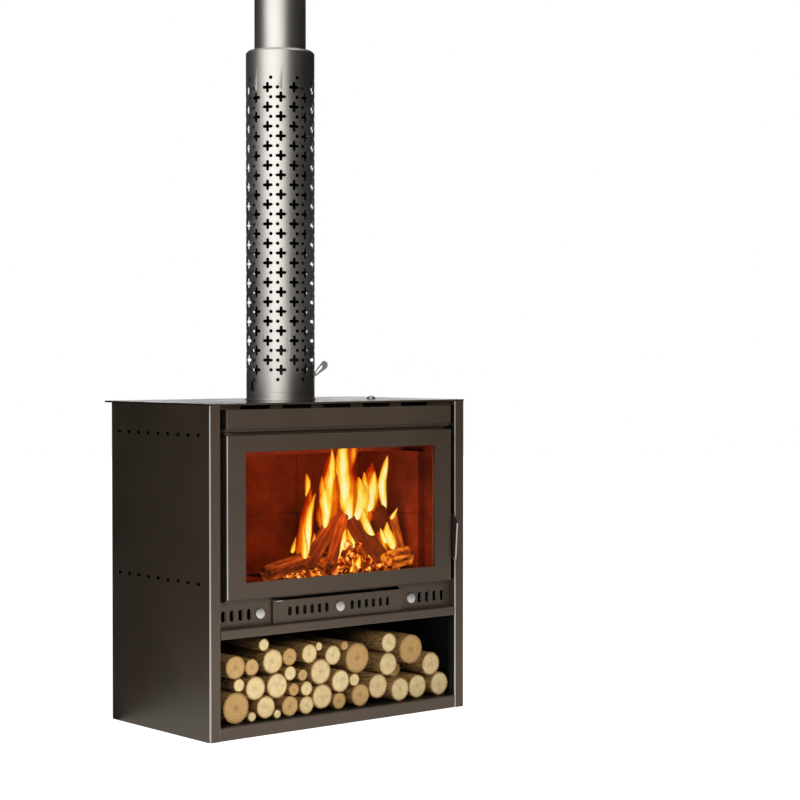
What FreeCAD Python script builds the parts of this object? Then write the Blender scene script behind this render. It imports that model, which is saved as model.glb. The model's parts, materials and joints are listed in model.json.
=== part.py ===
"""Wood stove: folded sheet cabinet, glazed door, log store, ash drawer and a shielded flue.

Millimetres. +X is to the right of a person facing the stove, +Y to its back and +Z up.
The origin is on the floor, under the middle of the cabinet.
"""

import FreeCAD
import Part
import os
import types

import Sketcher
from FreeCAD import Placement, Rotation, Vector

# Driving dimensions, each with what it measures
DRIVING = (
    ("cabinet_width", 926, "over the side panels"),
    ("cabinet_depth", 498, "of the side panels"),
    ("cabinet_height", 922, "of the side panels"),
    ("panel_gauge", 3, "folded sheet of the cabinet and door"),
    ("post_width", 36, "front fold of a side panel"),
    ("rear_flange", 30, "rear fold of a side panel"),
    ("frame_setback", 28, "front plane to the front frame"),
    ("top_gauge", 5, "top plate"),
    ("top_overhang", 38, "top plate behind the side panels"),
    ("base_height", 37.5, "floor of the log store"),
    ("base_inset", 9, "rear edge of the shelves to the rear plane"),
    ("shelf_top", 305.5, "shelf over the log store"),
    ("shelf_lip", 26.7, "front lip of that shelf"),
    ("rail_width", 84, "stiffening rail under the log store"),
    ("rail_flange", 28, "welding flange of the rail"),
    ("shield_gap", 32, "air gap behind the rear panel"),
    ("vent_length", 18, "side vent"),
    ("vent_height", 9, "side vent"),
    ("vent_pitch", 50, "between side vents"),
    ("vent_first", 57, "front plane to the first side vent"),
    ("vent_row_low", 431.5, "lower row of side vents"),
    ("vent_row_high", 840, "upper row of side vents"),
    ("outlet_width", 102, "warm air outlet under the top plate"),
    ("outlet_height", 12, "warm air outlet"),
    ("outlet_pitch", 145, "between warm air outlets"),
    ("fascia_width", 818, "panel over the door"),
    ("fascia_bottom", 856.5, "panel over the door"),
    ("fascia_top", 909.7, "panel over the door"),
    ("front_proud", 3.5, "door and fascia before the front plane"),
    ("door_width", 816, "door"),
    ("door_bottom", 386.5, "door"),
    ("door_top", 838.4, "door"),
    ("door_face", 4, "front plate of the door"),
    ("door_depth", 26.5, "front plate to the door's rear edge"),
    ("window_width", 690.6, "opening for the glass"),
    ("window_bottom", 431, "opening for the glass"),
    ("window_top", 792.3, "opening for the glass"),
    ("glass_gauge", 4, "door glass"),
    ("glass_overlap", 11, "glass behind the edge of the window"),
    ("gasket_gauge", 2, "tape between door and glass"),
    ("seal_band", 14, "width of the rope seal"),
    ("seal_inset", 18, "door edge to the rope seal"),
    ("seal_gap", 0.3, "rope seal to the front frame"),
    ("mouth_width", 730, "mouth of the firebox"),
    ("mouth_bottom", 420, "mouth of the firebox"),
    ("mouth_top", 805, "mouth of the firebox"),
    ("hinge_inset", 8, "hinge axis to the door's edge"),
    ("hinge_setback", 9, "hinge axis behind the front plane"),
    ("pin_radius", 3.5, "hinge and keeper pins"),
    ("running_gap", 0.05, "radial clearance of a turning pin"),
    ("bracket_gauge", 5, "hinge bracket"),
    ("bracket_gap", 2, "hinge bracket to the door"),
    ("bracket_half", 12, "half width of a hinge bracket"),
    ("pivot_height", 466, "handle pivot"),
    ("pivot_setback", 8, "handle pivot behind the front plane"),
    ("bolt_radius", 4, "shank of the handle's bolt"),
    ("lever_gauge", 6, "handle lever"),
    ("lever_gap", 6, "door edge to the lever"),
    ("lever_drop", 17, "front corner of the lever under its pivot"),
    ("lever_toe", 23, "that corner before the pivot"),
    ("lever_rise", 91, "upper front corner over the pivot"),
    ("lever_lean", 31, "that corner before the pivot"),
    ("lever_crown", 117, "top of the lever over its pivot"),
    ("lever_crown_front", 12, "top edge before the pivot"),
    ("lever_crown_back", 4, "top edge before the pivot"),
    ("lever_neck", 7, "metal round the pivot"),
    ("hook_reach", 18.2, "hook behind the pivot"),
    ("hook_tip", 2.6, "thickness of the hook's tip"),
    ("hook_depth", 4.9, "tip under the pivot"),
    ("hook_height", 8, "hook over the pivot"),
    ("keeper_reach", 11.5, "keeper pin behind the pivot"),
    ("keeper_drop", 9, "keeper pin under the pivot"),
    ("control_height", 338.5, "air slots and knobs"),
    ("grille_first", 312, "first grille slot from the middle"),
    ("grille_pitch", 29.17, "between grille slots"),
    ("grille_width", 15.5, "grille slot"),
    ("grille_length", 31, "grille slot"),
    ("air_knob_place", 276, "side knobs from the middle"),
    ("air_travel", 14.6, "side air slides, half the pitch of their slots"),
    ("knob_radius", 15.3, "air knobs"),
    ("knob_height", 6.6, "air knobs"),
    ("stem_radius", 2.5, "knob stems"),
    ("slide_gauge", 2, "air slide plates"),
    ("slide_gap", 0.3, "air slide to its plate"),
    ("slide_half", 21, "half height of an air slide"),
    ("drawer_width", 472, "ash drawer front"),
    ("drawer_bottom", 306.3, "ash drawer front"),
    ("drawer_top", 370, "ash drawer front"),
    ("drawer_setback", 17, "ash drawer front behind the front plane"),
    ("drawer_depth", 10, "folded edges of the drawer front"),
    ("drawer_gauge", 2.5, "drawer front"),
    ("drawer_slot_first", 46.5, "first drawer slot from the middle"),
    ("drawer_slot_pitch", 26.42, "between drawer slots"),
    ("drawer_slot_width", 12.5, "drawer slot"),
    ("drawer_slot_length", 26, "drawer slot"),
    ("drawer_air_travel", 13.2, "drawer air slide, half the pitch of its slots"),
    ("drawer_mouth_width", 460, "opening for the ash pan"),
    ("drawer_mouth_top", 378, "opening for the ash pan"),
    ("pan_width", 444, "ash pan"),
    ("pan_rear", 150, "rear of the ash pan"),
    ("pan_bottom", 309, "ash pan"),
    ("pan_top", 362, "ash pan"),
    ("pan_gauge", 2, "ash pan"),
    ("pan_front_lip", 11, "low front wall of the ash pan"),
    ("firebox_width", 790, "outside of the firebox"),
    ("firebox_rear", 165, "outside of the firebox"),
    ("firebox_bottom", 384, "underside of the firebox"),
    ("firebox_top", 865, "top of the firebox"),
    ("firebox_gauge", 5, "firebox plates"),
    ("brick", 25, "firebrick thickness"),
    ("brick_top", 770, "top of the firebricks"),
    ("brick_front", 150, "side firebricks before the middle"),
    ("brick_joint", 1.5, "joint between firebricks"),
    ("baffle_front", 60, "baffle before the middle"),
    ("grate_width", 296, "fire grate"),
    ("grate_depth", 196, "fire grate"),
    ("grate_height", 20, "fire grate"),
    ("grate_bearing", 14, "grate on the firebox floor"),
    ("grate_slot", 12, "slot of the grate"),
    ("grate_pitch", 30, "between slots of the grate"),
    ("flue_back", 51, "flue axis behind the middle"),
    ("pipe_radius", 76.2, "outside of the flue pipe"),
    ("pipe_wall", 1.2, "flue pipe and shield"),
    ("pipe_bottom", 1060, "lower end of the flue pipe, on a step in the collar"),
    ("pipe_top", 2125, "upper end of the flue pipe"),
    ("pipe_slip", 0.3, "flue pipe in the collar"),
    ("collar_top", 1090, "upper end of the flue collar"),
    ("collar_step", 1.5, "collar's bore inside that of the pipe"),
    ("shield_radius", 101.6, "outside of the flue shield"),
    ("shield_bottom", 951, "lower end of the shield's sheet"),
    ("shield_top", 1935, "upper end of the shield's sheet"),
    ("cap_skirt", 16, "straight skirt of the shield's cap"),
    ("cap_height", 23, "shield's cap"),
    ("damper_height", 968, "damper spindle"),
    ("damper_radius", 72, "damper disc"),
    ("damper_gauge", 3, "damper disc and handle"),
    ("spindle_radius", 5, "damper spindle"),
    ("spindle_left", 90, "spindle's left end from the flue axis"),
    ("spindle_right", 108, "spindle's right end from the flue axis"),
    ("spindle_slot_width", 14, "slot in the shield for the spindle"),
    ("spindle_slot_height", 30, "slot in the shield for the spindle"),
    ("loop_reach", 69, "damper handle beyond the spindle"),
    ("loop_rise", 74, "top of the damper handle over the spindle"),
    ("loop_neck", 20, "neck of the damper handle over the spindle"),
    ("loop_end", 22, "height of the damper handle's wide end"),
)

VENT_COUNT = 9
OUTLET_COUNT = 5
GRILLE_COUNT = 4
DRAWER_SLOT_COUNT = 6
GRATE_SLOT_COUNT = 9

PLANE = {"x": "YZ_Plane", "y": "XZ_Plane", "z": "XY_Plane"}
END_CHAMFER = 0.3
HEXAGON_SIDE = 0.866
PAST = 1

doc = FreeCAD.newDocument("wood_stove")
subparts = []


class Size:
    """A length with its number and the sheet expression that gives it."""

    def __init__(self, value, text):
        self.value = value
        self.text = text

    def __add__(self, other):
        return combine(self, "+", other, self.value + size(other).value)

    def __sub__(self, other):
        return combine(self, "-", other, self.value - size(other).value)

    def __mul__(self, factor):
        return combine(self, "*", factor, self.value * factor)

    def __truediv__(self, divisor):
        return combine(self, "/", divisor, self.value / divisor)

    def __radd__(self, other):
        return size(other) + self

    def __rsub__(self, other):
        return size(other) - self

    def __neg__(self):
        return self * -1


def size(length):
    """A size as it is, or a plain number as a size."""
    if isinstance(length, Size):
        return length
    return Size(length, f"({length})")


def combine(first, sign, second, value):
    """The size that one operation gives."""
    return Size(value, f"({first.text} {sign} {size(second).text})")


def dimension_sheet():
    """Write the driving dimensions to a sheet and return them as named sizes."""
    sheet = doc.addObject("Spreadsheet::Sheet", "dims")
    named_sizes = {}
    for row, (alias, value, measures) in enumerate(DRIVING, start=1):
        sheet.set(f"A{row}", alias.replace("_", " "))
        sheet.set(f"B{row}", str(value))
        sheet.setAlias(f"B{row}", alias)
        sheet.set(f"C{row}", measures)
        named_sizes[alias] = Size(value, f"dims.{alias}")
    doc.recompute()
    return types.SimpleNamespace(**named_sizes)


d = dimension_sheet()

# Planes and lines that several pieces share
HALF = d.cabinet_width / 2
FRONT = -d.cabinet_depth / 2
REAR = d.cabinet_depth / 2
POST = HALF - d.post_width
FRAME_FRONT = FRONT + d.frame_setback
FRAME_BACK = FRAME_FRONT + d.panel_gauge
REAR_PANEL_FRONT = REAR - d.panel_gauge * 2
TOP = d.cabinet_height + d.top_gauge
DOOR_HALF = d.door_width / 2
DOOR_FRONT = FRONT - d.front_proud
DOOR_INSIDE = DOOR_FRONT + d.door_face
DOOR_BACK = DOOR_FRONT + d.door_depth
GLASS_FRONT = DOOR_INSIDE + d.gasket_gauge
GLASS_BACK = GLASS_FRONT + d.glass_gauge
HINGE_X = d.hinge_inset - DOOR_HALF
HINGE_Y = FRONT + d.hinge_setback
PIVOT_Y = FRONT + d.pivot_setback
LEVER_LEFT = DOOR_HALF + d.lever_gap
LEVER_RIGHT = LEVER_LEFT + d.lever_gauge
DRAWER_FRONT = FRONT + d.drawer_setback
DRAWER_INSIDE = DRAWER_FRONT + d.drawer_gauge
DRAWER_BACK = DRAWER_FRONT + d.drawer_depth
FIREBOX_HALF = d.firebox_width / 2
LINING_HALF = FIREBOX_HALF - d.firebox_gauge
FIREBOX_FLOOR = d.firebox_bottom + d.firebox_gauge
FIREBOX_ROOF = d.firebox_top - d.firebox_gauge
COLLAR_INNER = d.pipe_radius + d.pipe_slip
COLLAR_OUTER = COLLAR_INNER + d.pipe_wall
ROOM = d.panel_gauge / 6


# Making and placing shapes


def bind(obj, prop, length):
    """Tie a property to the sheet."""
    obj.setExpression(prop, size(length).text)


def place(obj, point):
    """Tie the place of an object to the sheet."""
    for axis, length in zip("xyz", point):
        bind(obj, f"Placement.Base.{axis}", length)
    return obj


def named(obj, name):
    """Make an object a sub-part: its label names its file."""
    obj.Label = name
    subparts.append(obj)
    return obj


def box(low, high):
    """A plate or block between two opposite corners."""
    block = doc.addObject("Part::Box", "block")
    for prop, near, far in zip(("Length", "Width", "Height"), low, high):
        bind(block, prop, size(far) - near)
    return place(block, low)


def rod(start, radius, length, axis="z"):
    """A cylinder from its start along one axis."""
    turns = {"x": Rotation(Vector(0, 1, 0), 90), "y": Rotation(Vector(1, 0, 0), -90), "z": Rotation()}
    cylinder = doc.addObject("Part::Cylinder", "cylinder")
    bind(cylinder, "Radius", radius)
    bind(cylinder, "Height", length)
    cylinder.Placement = Placement(Vector(), turns[axis])
    return place(cylinder, start)


def group(*pieces):
    """Separate solids of one sub-part."""
    compound = doc.addObject("Part::Compound", "group")
    compound.Links = list(pieces)
    return compound


def fuse(*pieces):
    """One solid from pieces that meet."""
    joined = doc.addObject("Part::MultiFuse", "joined")
    joined.Shapes = list(pieces)
    return joined


def cut(base, *tools):
    """A solid less its tools."""
    remainder = doc.addObject("Part::Cut", "remainder")
    remainder.Base = base
    remainder.Tool = tools[0] if len(tools) == 1 else group(*tools)
    return remainder


def mirrored(source):
    """The same piece for the other side of the stove."""
    mirror = doc.addObject("Part::Mirroring", "mirror")
    mirror.Source = source
    mirror.Normal = Vector(1, 0, 0)
    return mirror


def ring(half, bottom, top, band, front, back):
    """A flat rectangular ring: outer half width, outer heights, width of its band, and depth."""
    blank = box((-half, front, bottom), (half, back, top))
    opening = box((band - half, front - PAST, bottom + band), (half - band, back + PAST, top - band))
    return cut(blank, opening)


def rectangle(left, bottom, right, top):
    """Corners of a rectangle."""
    return [(left, bottom), (right, bottom), (right, top), (left, top)]


def oblong(x, y, width, height):
    """Corners of a rectangle about its centre."""
    return rectangle(x - width / 2, y - height / 2, x + width / 2, y + height / 2)


def slot(x, y, width, height):
    """Corners of a slot about its centre, its round ends as chamfers."""
    side, end = width / 2, height / 2
    chamfer = (width if width.value < height.value else height) * END_CHAMFER
    return [
        (x - side + chamfer, y - end), (x + side - chamfer, y - end),
        (x + side, y - end + chamfer), (x + side, y + end - chamfer),
        (x + side - chamfer, y + end), (x - side + chamfer, y + end),
        (x - side, y + end - chamfer), (x - side, y - end + chamfer),
    ]


def hexagon(x, y, reach):
    """Corners of a nut about its centre."""
    side, half = reach * HEXAGON_SIDE, reach / 2
    return [(x - reach, y), (x - half, y - side), (x + half, y - side),
            (x + reach, y), (x + half, y + side), (x - half, y + side)]


def add_outline(drawing, corners):
    """Draw a closed outline of straight edges and tie every corner to the sheet."""
    corners = [(size(x), size(y)) for x, y in corners]
    first = drawing.GeometryCount
    for start, end in zip(corners, corners[1:] + corners[:1]):
        points = [Vector(x.value, y.value, 0) for x, y in (start, end)]
        drawing.addGeometry(Part.LineSegment(*points))
    for index, corner in enumerate(corners):
        line = first + index
        following = first + (index + 1) % len(corners)
        drawing.addConstraint(Sketcher.Constraint("Coincident", line, 2, following, 1))
        for kind, length in zip(("DistanceX", "DistanceY"), corner):
            constraint = drawing.addConstraint(Sketcher.Constraint(kind, -1, 1, line, 1, float(length.value)))
            drawing.setExpression(f"Constraints[{constraint}]", length.text)


def sketch(body, axis, offset, outlines):
    """Outlines on the body's own plane across an axis."""
    drawing = body.newObject("Sketcher::SketchObject", "sketch")
    plane = next(feature for feature in body.Origin.OriginFeatures if feature.Role == PLANE[axis])
    drawing.AttachmentSupport = [(plane, "")]
    drawing.MapMode = "FlatFace"
    bind(drawing, "AttachmentOffset.Base.z", offset)
    for outline in outlines:
        add_outline(drawing, outline)
    return drawing


def prism(axis, start, end, *outlines):
    """A body padded along one axis: the first outline is filled and the others are its openings."""
    body = doc.addObject("PartDesign::Body", "body")
    offset = -size(end) if axis == "y" else start
    pad = body.newObject("PartDesign::Pad", "pad")
    pad.Profile = sketch(body, axis, offset, outlines)
    bind(pad, "Length", size(end) - start)
    body.Tip = pad
    return body


def punch(body, axis, pitch, count, *outlines):
    """Cut a row of openings through a body along one axis."""
    drawing = sketch(body, axis, 0, outlines)
    pocket = body.newObject("PartDesign::Pocket", "pocket")
    pocket.Profile = drawing
    pocket.Type = "ThroughAll"
    pocket.SideType = "Symmetric"
    row = body.newObject("PartDesign::LinearPattern", "row")
    row.Originals = [pocket]
    row.Direction = (drawing, ["H_Axis"])
    bind(row, "Length", pitch * (count - 1))
    row.Occurrences = count
    body.Tip = row
    return body


def turned(profile, point, tilt=0):
    """A body turned about an upright axis, then tilted about X and placed."""
    body = doc.addObject("PartDesign::Body", "body")
    drawing = sketch(body, "y", 0, [profile])
    revolution = body.newObject("PartDesign::Revolution", "revolution")
    revolution.Profile = drawing
    revolution.ReferenceAxis = (drawing, ["V_Axis"])
    revolution.Angle = 360
    body.Tip = revolution
    body.Placement = Placement(Vector(), Rotation(Vector(1, 0, 0), tilt))
    return place(body, point)


def tube(outer, wall, bottom, top):
    """A plain tube on the flue axis."""
    start = (0, d.flue_back, bottom)
    bore_start = (0, d.flue_back, bottom - PAST)
    shell = rod(start, outer, top - bottom)
    bore = rod(bore_start, outer - wall, top - bottom + 2 * PAST)
    return cut(shell, bore)


# Cabinet


def side_panels():
    """Each panel is a wall, a front post with its return, and a rear flange, folded from one sheet."""
    gauge = d.panel_gauge
    fold = [
        (-HALF, REAR), (-HALF, FRONT), (-POST, FRONT), (-POST, FRAME_FRONT),
        (-POST - gauge, FRAME_FRONT), (-POST - gauge, FRONT + gauge),
        (gauge - HALF, FRONT + gauge), (gauge - HALF, REAR - gauge),
        (d.rear_flange - HALF, REAR - gauge), (d.rear_flange - HALF, REAR),
    ]
    vents = [slot(FRONT + d.vent_first, row, d.vent_length, d.vent_height)
             for row in (d.vent_row_low, d.vent_row_high)]
    left = punch(prism("z", 0, d.cabinet_height, fold), "x", d.vent_pitch, VENT_COUNT, *vents)
    named(left, "left_side_panel")
    named(mirrored(left), "right_side_panel")


def folded_shelf(top, lip):
    """A shelf with folded front and rear lips, notched to pass behind the posts."""
    gauge = d.panel_gauge
    back = REAR - d.base_inset
    fold = [
        (FRONT, top - lip), (FRONT, top), (back, top), (back, top - lip),
        (back - gauge, top - lip), (back - gauge, top - gauge),
        (FRONT + gauge, top - gauge), (FRONT + gauge, top - lip),
    ]
    side = HALF - gauge - ROOM
    body = prism("x", -side, side, fold)
    notch = rectangle(POST - ROOM, FRONT - PAST, HALF, FRAME_FRONT + ROOM)
    other_notch = rectangle(-HALF, FRONT - PAST, ROOM - POST, FRAME_FRONT + ROOM)
    return punch(body, "z", size(0), 1, notch, other_notch)


def base():
    """The floor of the log store and the rail under it, which stands on the ground."""
    named(folded_shelf(d.base_height, d.base_height), "base_plate")
    gauge = d.panel_gauge
    under = d.base_height - gauge
    side = d.rail_width / 2
    flange = side + d.rail_flange
    hat = [
        (-flange, under), (-flange, under - gauge), (-side, under - gauge), (-side, 0), (side, 0),
        (side, under - gauge), (flange, under - gauge), (flange, under), (side - gauge, under),
        (side - gauge, gauge), (gauge - side, gauge), (gauge - side, under),
    ]
    named(prism("y", FRAME_FRONT, -FRAME_FRONT, hat), "base_rail")


def rear_panels():
    """The rear panel, and the heat shield that stands off behind it."""
    side = HALF - d.panel_gauge - ROOM
    low = (-side, REAR_PANEL_FRONT, d.panel_gauge)
    high = (side, REAR - d.panel_gauge, d.cabinet_height - ROOM)
    named(box(low, high), "rear_panel")
    gauge = d.panel_gauge / 2
    edge = HALF - d.rear_flange + gauge
    back = REAR + d.shield_gap
    fold = [
        (-edge, REAR), (-edge, back), (edge, back), (edge, REAR),
        (edge - gauge, REAR), (edge - gauge, back - gauge),
        (gauge - edge, back - gauge), (gauge - edge, REAR),
    ]
    named(prism("z", d.shelf_top, d.cabinet_height - d.outlet_height, fold), "rear_heat_shield")


def top_plate():
    """The top plate, with a hole that the flue collar passes through."""
    plate = box((-HALF, FRONT, d.cabinet_height), (HALF, REAR + d.top_overhang, TOP))
    start = (0, d.flue_back, d.cabinet_height - PAST)
    hole = rod(start, COLLAR_OUTER + d.panel_gauge / 2, d.top_gauge + 2 * PAST)
    named(cut(plate, hole), "top_plate")


def front_frame():
    """The plate behind the posts: firebox mouth, drawer opening, air slots and warm air outlets."""
    side = HALF - d.panel_gauge - ROOM
    plate = rectangle(-side, d.shelf_top, side, d.cabinet_height)
    mouth = rectangle(-d.mouth_width / 2, d.mouth_bottom, d.mouth_width / 2, d.mouth_top)
    drawer_half = d.drawer_mouth_width / 2
    drawer = rectangle(-drawer_half, d.shelf_top + ROOM, drawer_half, d.drawer_mouth_top)
    stem_slots = [stem_slot(x, d.air_travel) for x in (-d.air_knob_place, d.air_knob_place)]
    body = prism("y", FRAME_FRONT, FRAME_BACK, plate, mouth, drawer, *stem_slots)
    last = d.grille_first + d.grille_pitch * (GRILLE_COUNT - 1)
    slots = [slot(x, d.control_height, d.grille_width, d.grille_length) for x in (-last, d.grille_first)]
    punch(body, "y", d.grille_pitch, GRILLE_COUNT, *slots)
    first = -d.outlet_pitch * (OUTLET_COUNT - 1) / 2
    outlet = rectangle(first - d.outlet_width / 2, d.cabinet_height - d.outlet_height,
                       first + d.outlet_width / 2, d.cabinet_height + PAST)
    named(punch(body, "y", d.outlet_pitch, OUTLET_COUNT, outlet), "front_frame")


def stem_slot(x, travel):
    """The opening that a knob's stem slides in, from rest to the right."""
    half = d.stem_radius + ROOM
    return rectangle(x - half, d.control_height - half, x + travel + half, d.control_height + half)


def upper_fascia():
    """A folded pan over the door."""
    half = d.fascia_width / 2
    gauge = d.panel_gauge
    blank = box((-half, DOOR_FRONT, d.fascia_bottom), (half, FRAME_FRONT, d.fascia_top))
    inside = box((gauge - half, DOOR_FRONT + gauge, d.fascia_bottom + gauge),
                 (half - gauge, FRAME_FRONT + PAST, d.fascia_top - gauge))
    named(cut(blank, inside), "upper_fascia")


# Firebox


def firebox_plates():
    """Five welded plates with an opening for the grate; the roof's collar holds the flue and its damper."""
    front, back = FRAME_BACK, d.firebox_rear
    floor = box((-FIREBOX_HALF, front, d.firebox_bottom), (FIREBOX_HALF, back, FIREBOX_FLOOR))
    half = d.grate_width / 2 - d.grate_bearing
    depth = d.grate_depth / 2 - d.grate_bearing
    opening = box((-half, -depth, d.firebox_bottom - PAST), (half, depth, FIREBOX_FLOOR + PAST))
    named(cut(floor, opening), "firebox_floor")
    named(box((-FIREBOX_HALF, front, FIREBOX_FLOOR), (-LINING_HALF, back, FIREBOX_ROOF)), "firebox_left_wall")
    named(box((LINING_HALF, front, FIREBOX_FLOOR), (FIREBOX_HALF, back, FIREBOX_ROOF)), "firebox_right_wall")
    rear = (-LINING_HALF, back - d.firebox_gauge, FIREBOX_FLOOR)
    named(box(rear, (LINING_HALF, back, FIREBOX_ROOF)), "firebox_rear_wall")
    roof = box((-FIREBOX_HALF, front, FIREBOX_ROOF), (FIREBOX_HALF, back, d.firebox_top))
    collar = rod((0, d.flue_back, FIREBOX_ROOF), COLLAR_OUTER, d.collar_top - FIREBOX_ROOF)
    bore = rod((0, d.flue_back, FIREBOX_ROOF - PAST), d.pipe_radius - d.pipe_wall - d.collar_step,
               d.collar_top - FIREBOX_ROOF)
    socket = rod((0, d.flue_back, d.pipe_bottom), COLLAR_INNER, d.collar_top - d.pipe_bottom + PAST)
    reach = COLLAR_OUTER + PAST
    start = (-reach, d.flue_back, d.damper_height)
    spindle_bore = rod(start, d.spindle_radius + d.running_gap, reach * 2, "x")
    named(cut(cut(fuse(roof, collar), fuse(bore, socket)), spindle_bore), "firebox_roof")


def bricks(low, high, along, columns, courses):
    """Firebricks that fill a block, in columns along one axis and in courses, with open joints."""
    low = [size(length) for length in low]
    high = [size(length) for length in high]
    counts = [1, 1, courses]
    counts["xyz".index(along)] = columns
    pieces = []
    for column in range(columns):
        for course in range(courses):
            step = [0, 0, course]
            step["xyz".index(along)] = column
            near, far = [], []
            for start, end, index, count in zip(low, high, step, counts):
                pitch = (end - start) / count
                joint = d.brick_joint / 2 if count > 1 else size(0)
                near.append(start + pitch * index + joint)
                far.append(start + pitch * (index + 1) - joint)
            pieces.append(box(near, far))
    return group(*pieces)


def firebox_lining():
    """Firebricks on the floor, sides and rear, the grate between them and the baffle above."""
    rear = d.firebox_rear - d.firebox_gauge
    lining = rear - d.brick
    side = LINING_HALF - d.brick
    floor_top = FIREBOX_FLOOR + d.brick
    gap = d.brick_joint
    corner = (-LINING_HALF, -d.brick_front, FIREBOX_FLOOR)
    left = bricks(corner, (-side - gap, rear - gap, d.brick_top), "y", 2, 2)
    named(left, "left_firebricks")
    named(mirrored(left), "right_firebricks")
    back = bricks((-side, lining + gap, FIREBOX_FLOOR), (side, rear, d.brick_top), "x", 3, 2)
    named(back, "rear_firebricks")
    half = d.grate_width / 2 + gap
    depth = d.grate_depth / 2 + gap
    floor_left = box((-side, -d.brick_front, FIREBOX_FLOOR), (-half, lining, floor_top))
    floor_right = box((half, -d.brick_front, FIREBOX_FLOOR), (side, lining, floor_top))
    floor_front = box((gap - half, -d.brick_front, FIREBOX_FLOOR), (half - gap, -depth, floor_top))
    floor_rear = box((gap - half, depth, FIREBOX_FLOOR), (half - gap, lining, floor_top))
    named(group(floor_left, floor_right, floor_front, floor_rear), "floor_firebricks")
    baffle_side = LINING_HALF - gap
    named(box((-baffle_side, -d.baffle_front, d.brick_top), (baffle_side, rear - gap, d.brick_top + d.brick)),
          "baffle_plate")
    named(fire_grate(), "fire_grate")


def fire_grate():
    """A cast plate with slots that let ash fall into the pan."""
    half = d.grate_width / 2
    depth = d.grate_depth / 2
    plate = prism("z", FIREBOX_FLOOR, FIREBOX_FLOOR + d.grate_height, rectangle(-half, -depth, half, depth))
    first = -d.grate_pitch * (GRATE_SLOT_COUNT - 1) / 2
    reach = depth - d.grate_bearing * 1.5
    opening = rectangle(first - d.grate_slot / 2, -reach, first + d.grate_slot / 2, reach)
    return punch(plate, "z", d.grate_pitch, GRATE_SLOT_COUNT, opening)


# Door


def door():
    """A folded pan with a window, its glass and tape, the frame that holds them, and the rope seal."""
    gauge = d.panel_gauge
    blank = box((-DOOR_HALF, DOOR_FRONT, d.door_bottom), (DOOR_HALF, DOOR_BACK, d.door_top))
    inside = box((gauge - DOOR_HALF, DOOR_INSIDE, d.door_bottom + gauge),
                 (DOOR_HALF - gauge, DOOR_BACK + PAST, d.door_top - gauge))
    window_half = d.window_width / 2
    window = box((-window_half, DOOR_FRONT - PAST, d.window_bottom), (window_half, DOOR_INSIDE, d.window_top))
    hollow = fuse(inside, window)
    pin_hole = rod((HINGE_X, HINGE_Y, d.door_bottom - PAST), d.pin_radius + ROOM,
                   d.door_top - d.door_bottom + 2 * PAST)
    bolt_hole = rod((DOOR_HALF - gauge - PAST, PIVOT_Y, d.pivot_height), d.bolt_radius, gauge + 2 * PAST, "x")
    named(cut(cut(cut(blank, hollow), pin_hole), bolt_hole), "door_frame")
    half = window_half + d.glass_overlap
    low, high = d.window_bottom - d.glass_overlap, d.window_top + d.glass_overlap
    named(box((-half, GLASS_FRONT, low), (half, GLASS_BACK, high)), "door_glass")
    named(ring(half, low, high, d.glass_overlap - ROOM, DOOR_INSIDE, GLASS_FRONT), "glass_gasket")
    glass_retainer(half, low, high)
    seal_half = DOOR_HALF - d.seal_inset
    seal_low, seal_high = d.door_bottom + d.seal_inset / 2, d.door_top - d.seal_inset / 2
    carrier_back = DOOR_BACK - d.gasket_gauge * 3
    carrier = ring(DOOR_HALF - gauge, d.door_bottom + gauge, d.door_top - gauge, d.seal_inset + d.seal_band,
                   carrier_back - gauge, carrier_back)
    named(carrier, "seal_carrier")
    seal_back = FRAME_FRONT - d.seal_gap
    named(ring(seal_half, seal_low, seal_high, d.seal_band, carrier_back, seal_back), "door_seal")


def glass_retainer(half, low, high):
    """A stepped frame that clamps the glass from behind."""
    lip = d.glass_overlap
    back = GLASS_BACK + d.panel_gauge
    outer = ring(half + lip, low - lip, high + lip, lip * 2 - ROOM, DOOR_INSIDE, back)
    seat = box((-half - ROOM, DOOR_INSIDE - PAST, low - ROOM), (half + ROOM, GLASS_BACK, high + ROOM))
    named(cut(outer, seat), "glass_retainer")


def hinges():
    """Pivot blocks with pins inside the door, and the brackets that carry them."""
    gauge = d.panel_gauge
    side = gauge - DOOR_HALF
    block_back = DOOR_BACK - d.gasket_gauge * 3 - gauge - d.seal_gap
    reach = gauge + d.bracket_gap + d.bracket_gauge + d.bracket_gap
    height = d.bracket_half * 2
    low_block = box((side, DOOR_INSIDE, d.door_bottom + gauge),
                    (side + d.bracket_half, block_back, d.door_bottom + gauge + height))
    low_pin = rod((HINGE_X, HINGE_Y, d.door_bottom + gauge - reach), d.pin_radius, reach + PAST)
    high_block = box((side, DOOR_INSIDE, d.door_top - gauge - height),
                     (side + d.bracket_half, block_back, d.door_top - gauge))
    high_pin = rod((HINGE_X, HINGE_Y, d.door_top - gauge - PAST), d.pin_radius, reach + PAST)
    named(group(fuse(low_block, low_pin), fuse(high_block, high_pin)), "hinge_pivots")
    low_bracket = hinge_bracket(d.door_bottom - d.bracket_gap - d.bracket_gauge)
    high_bracket = hinge_bracket(d.door_top + d.bracket_gap)
    named(group(low_bracket, high_bracket), "hinge_brackets")


def hinge_bracket(bottom):
    """A tab on the front frame with a bore for a hinge pin."""
    top = bottom + d.bracket_gauge
    front = HINGE_Y - d.pin_radius * 2
    tab = box((HINGE_X - d.bracket_half, front, bottom), (HINGE_X + d.bracket_half, FRAME_FRONT, top))
    bore = rod((HINGE_X, HINGE_Y, bottom - PAST), d.pin_radius + d.running_gap, d.bracket_gauge + 2 * PAST)
    return cut(tab, bore)


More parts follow.
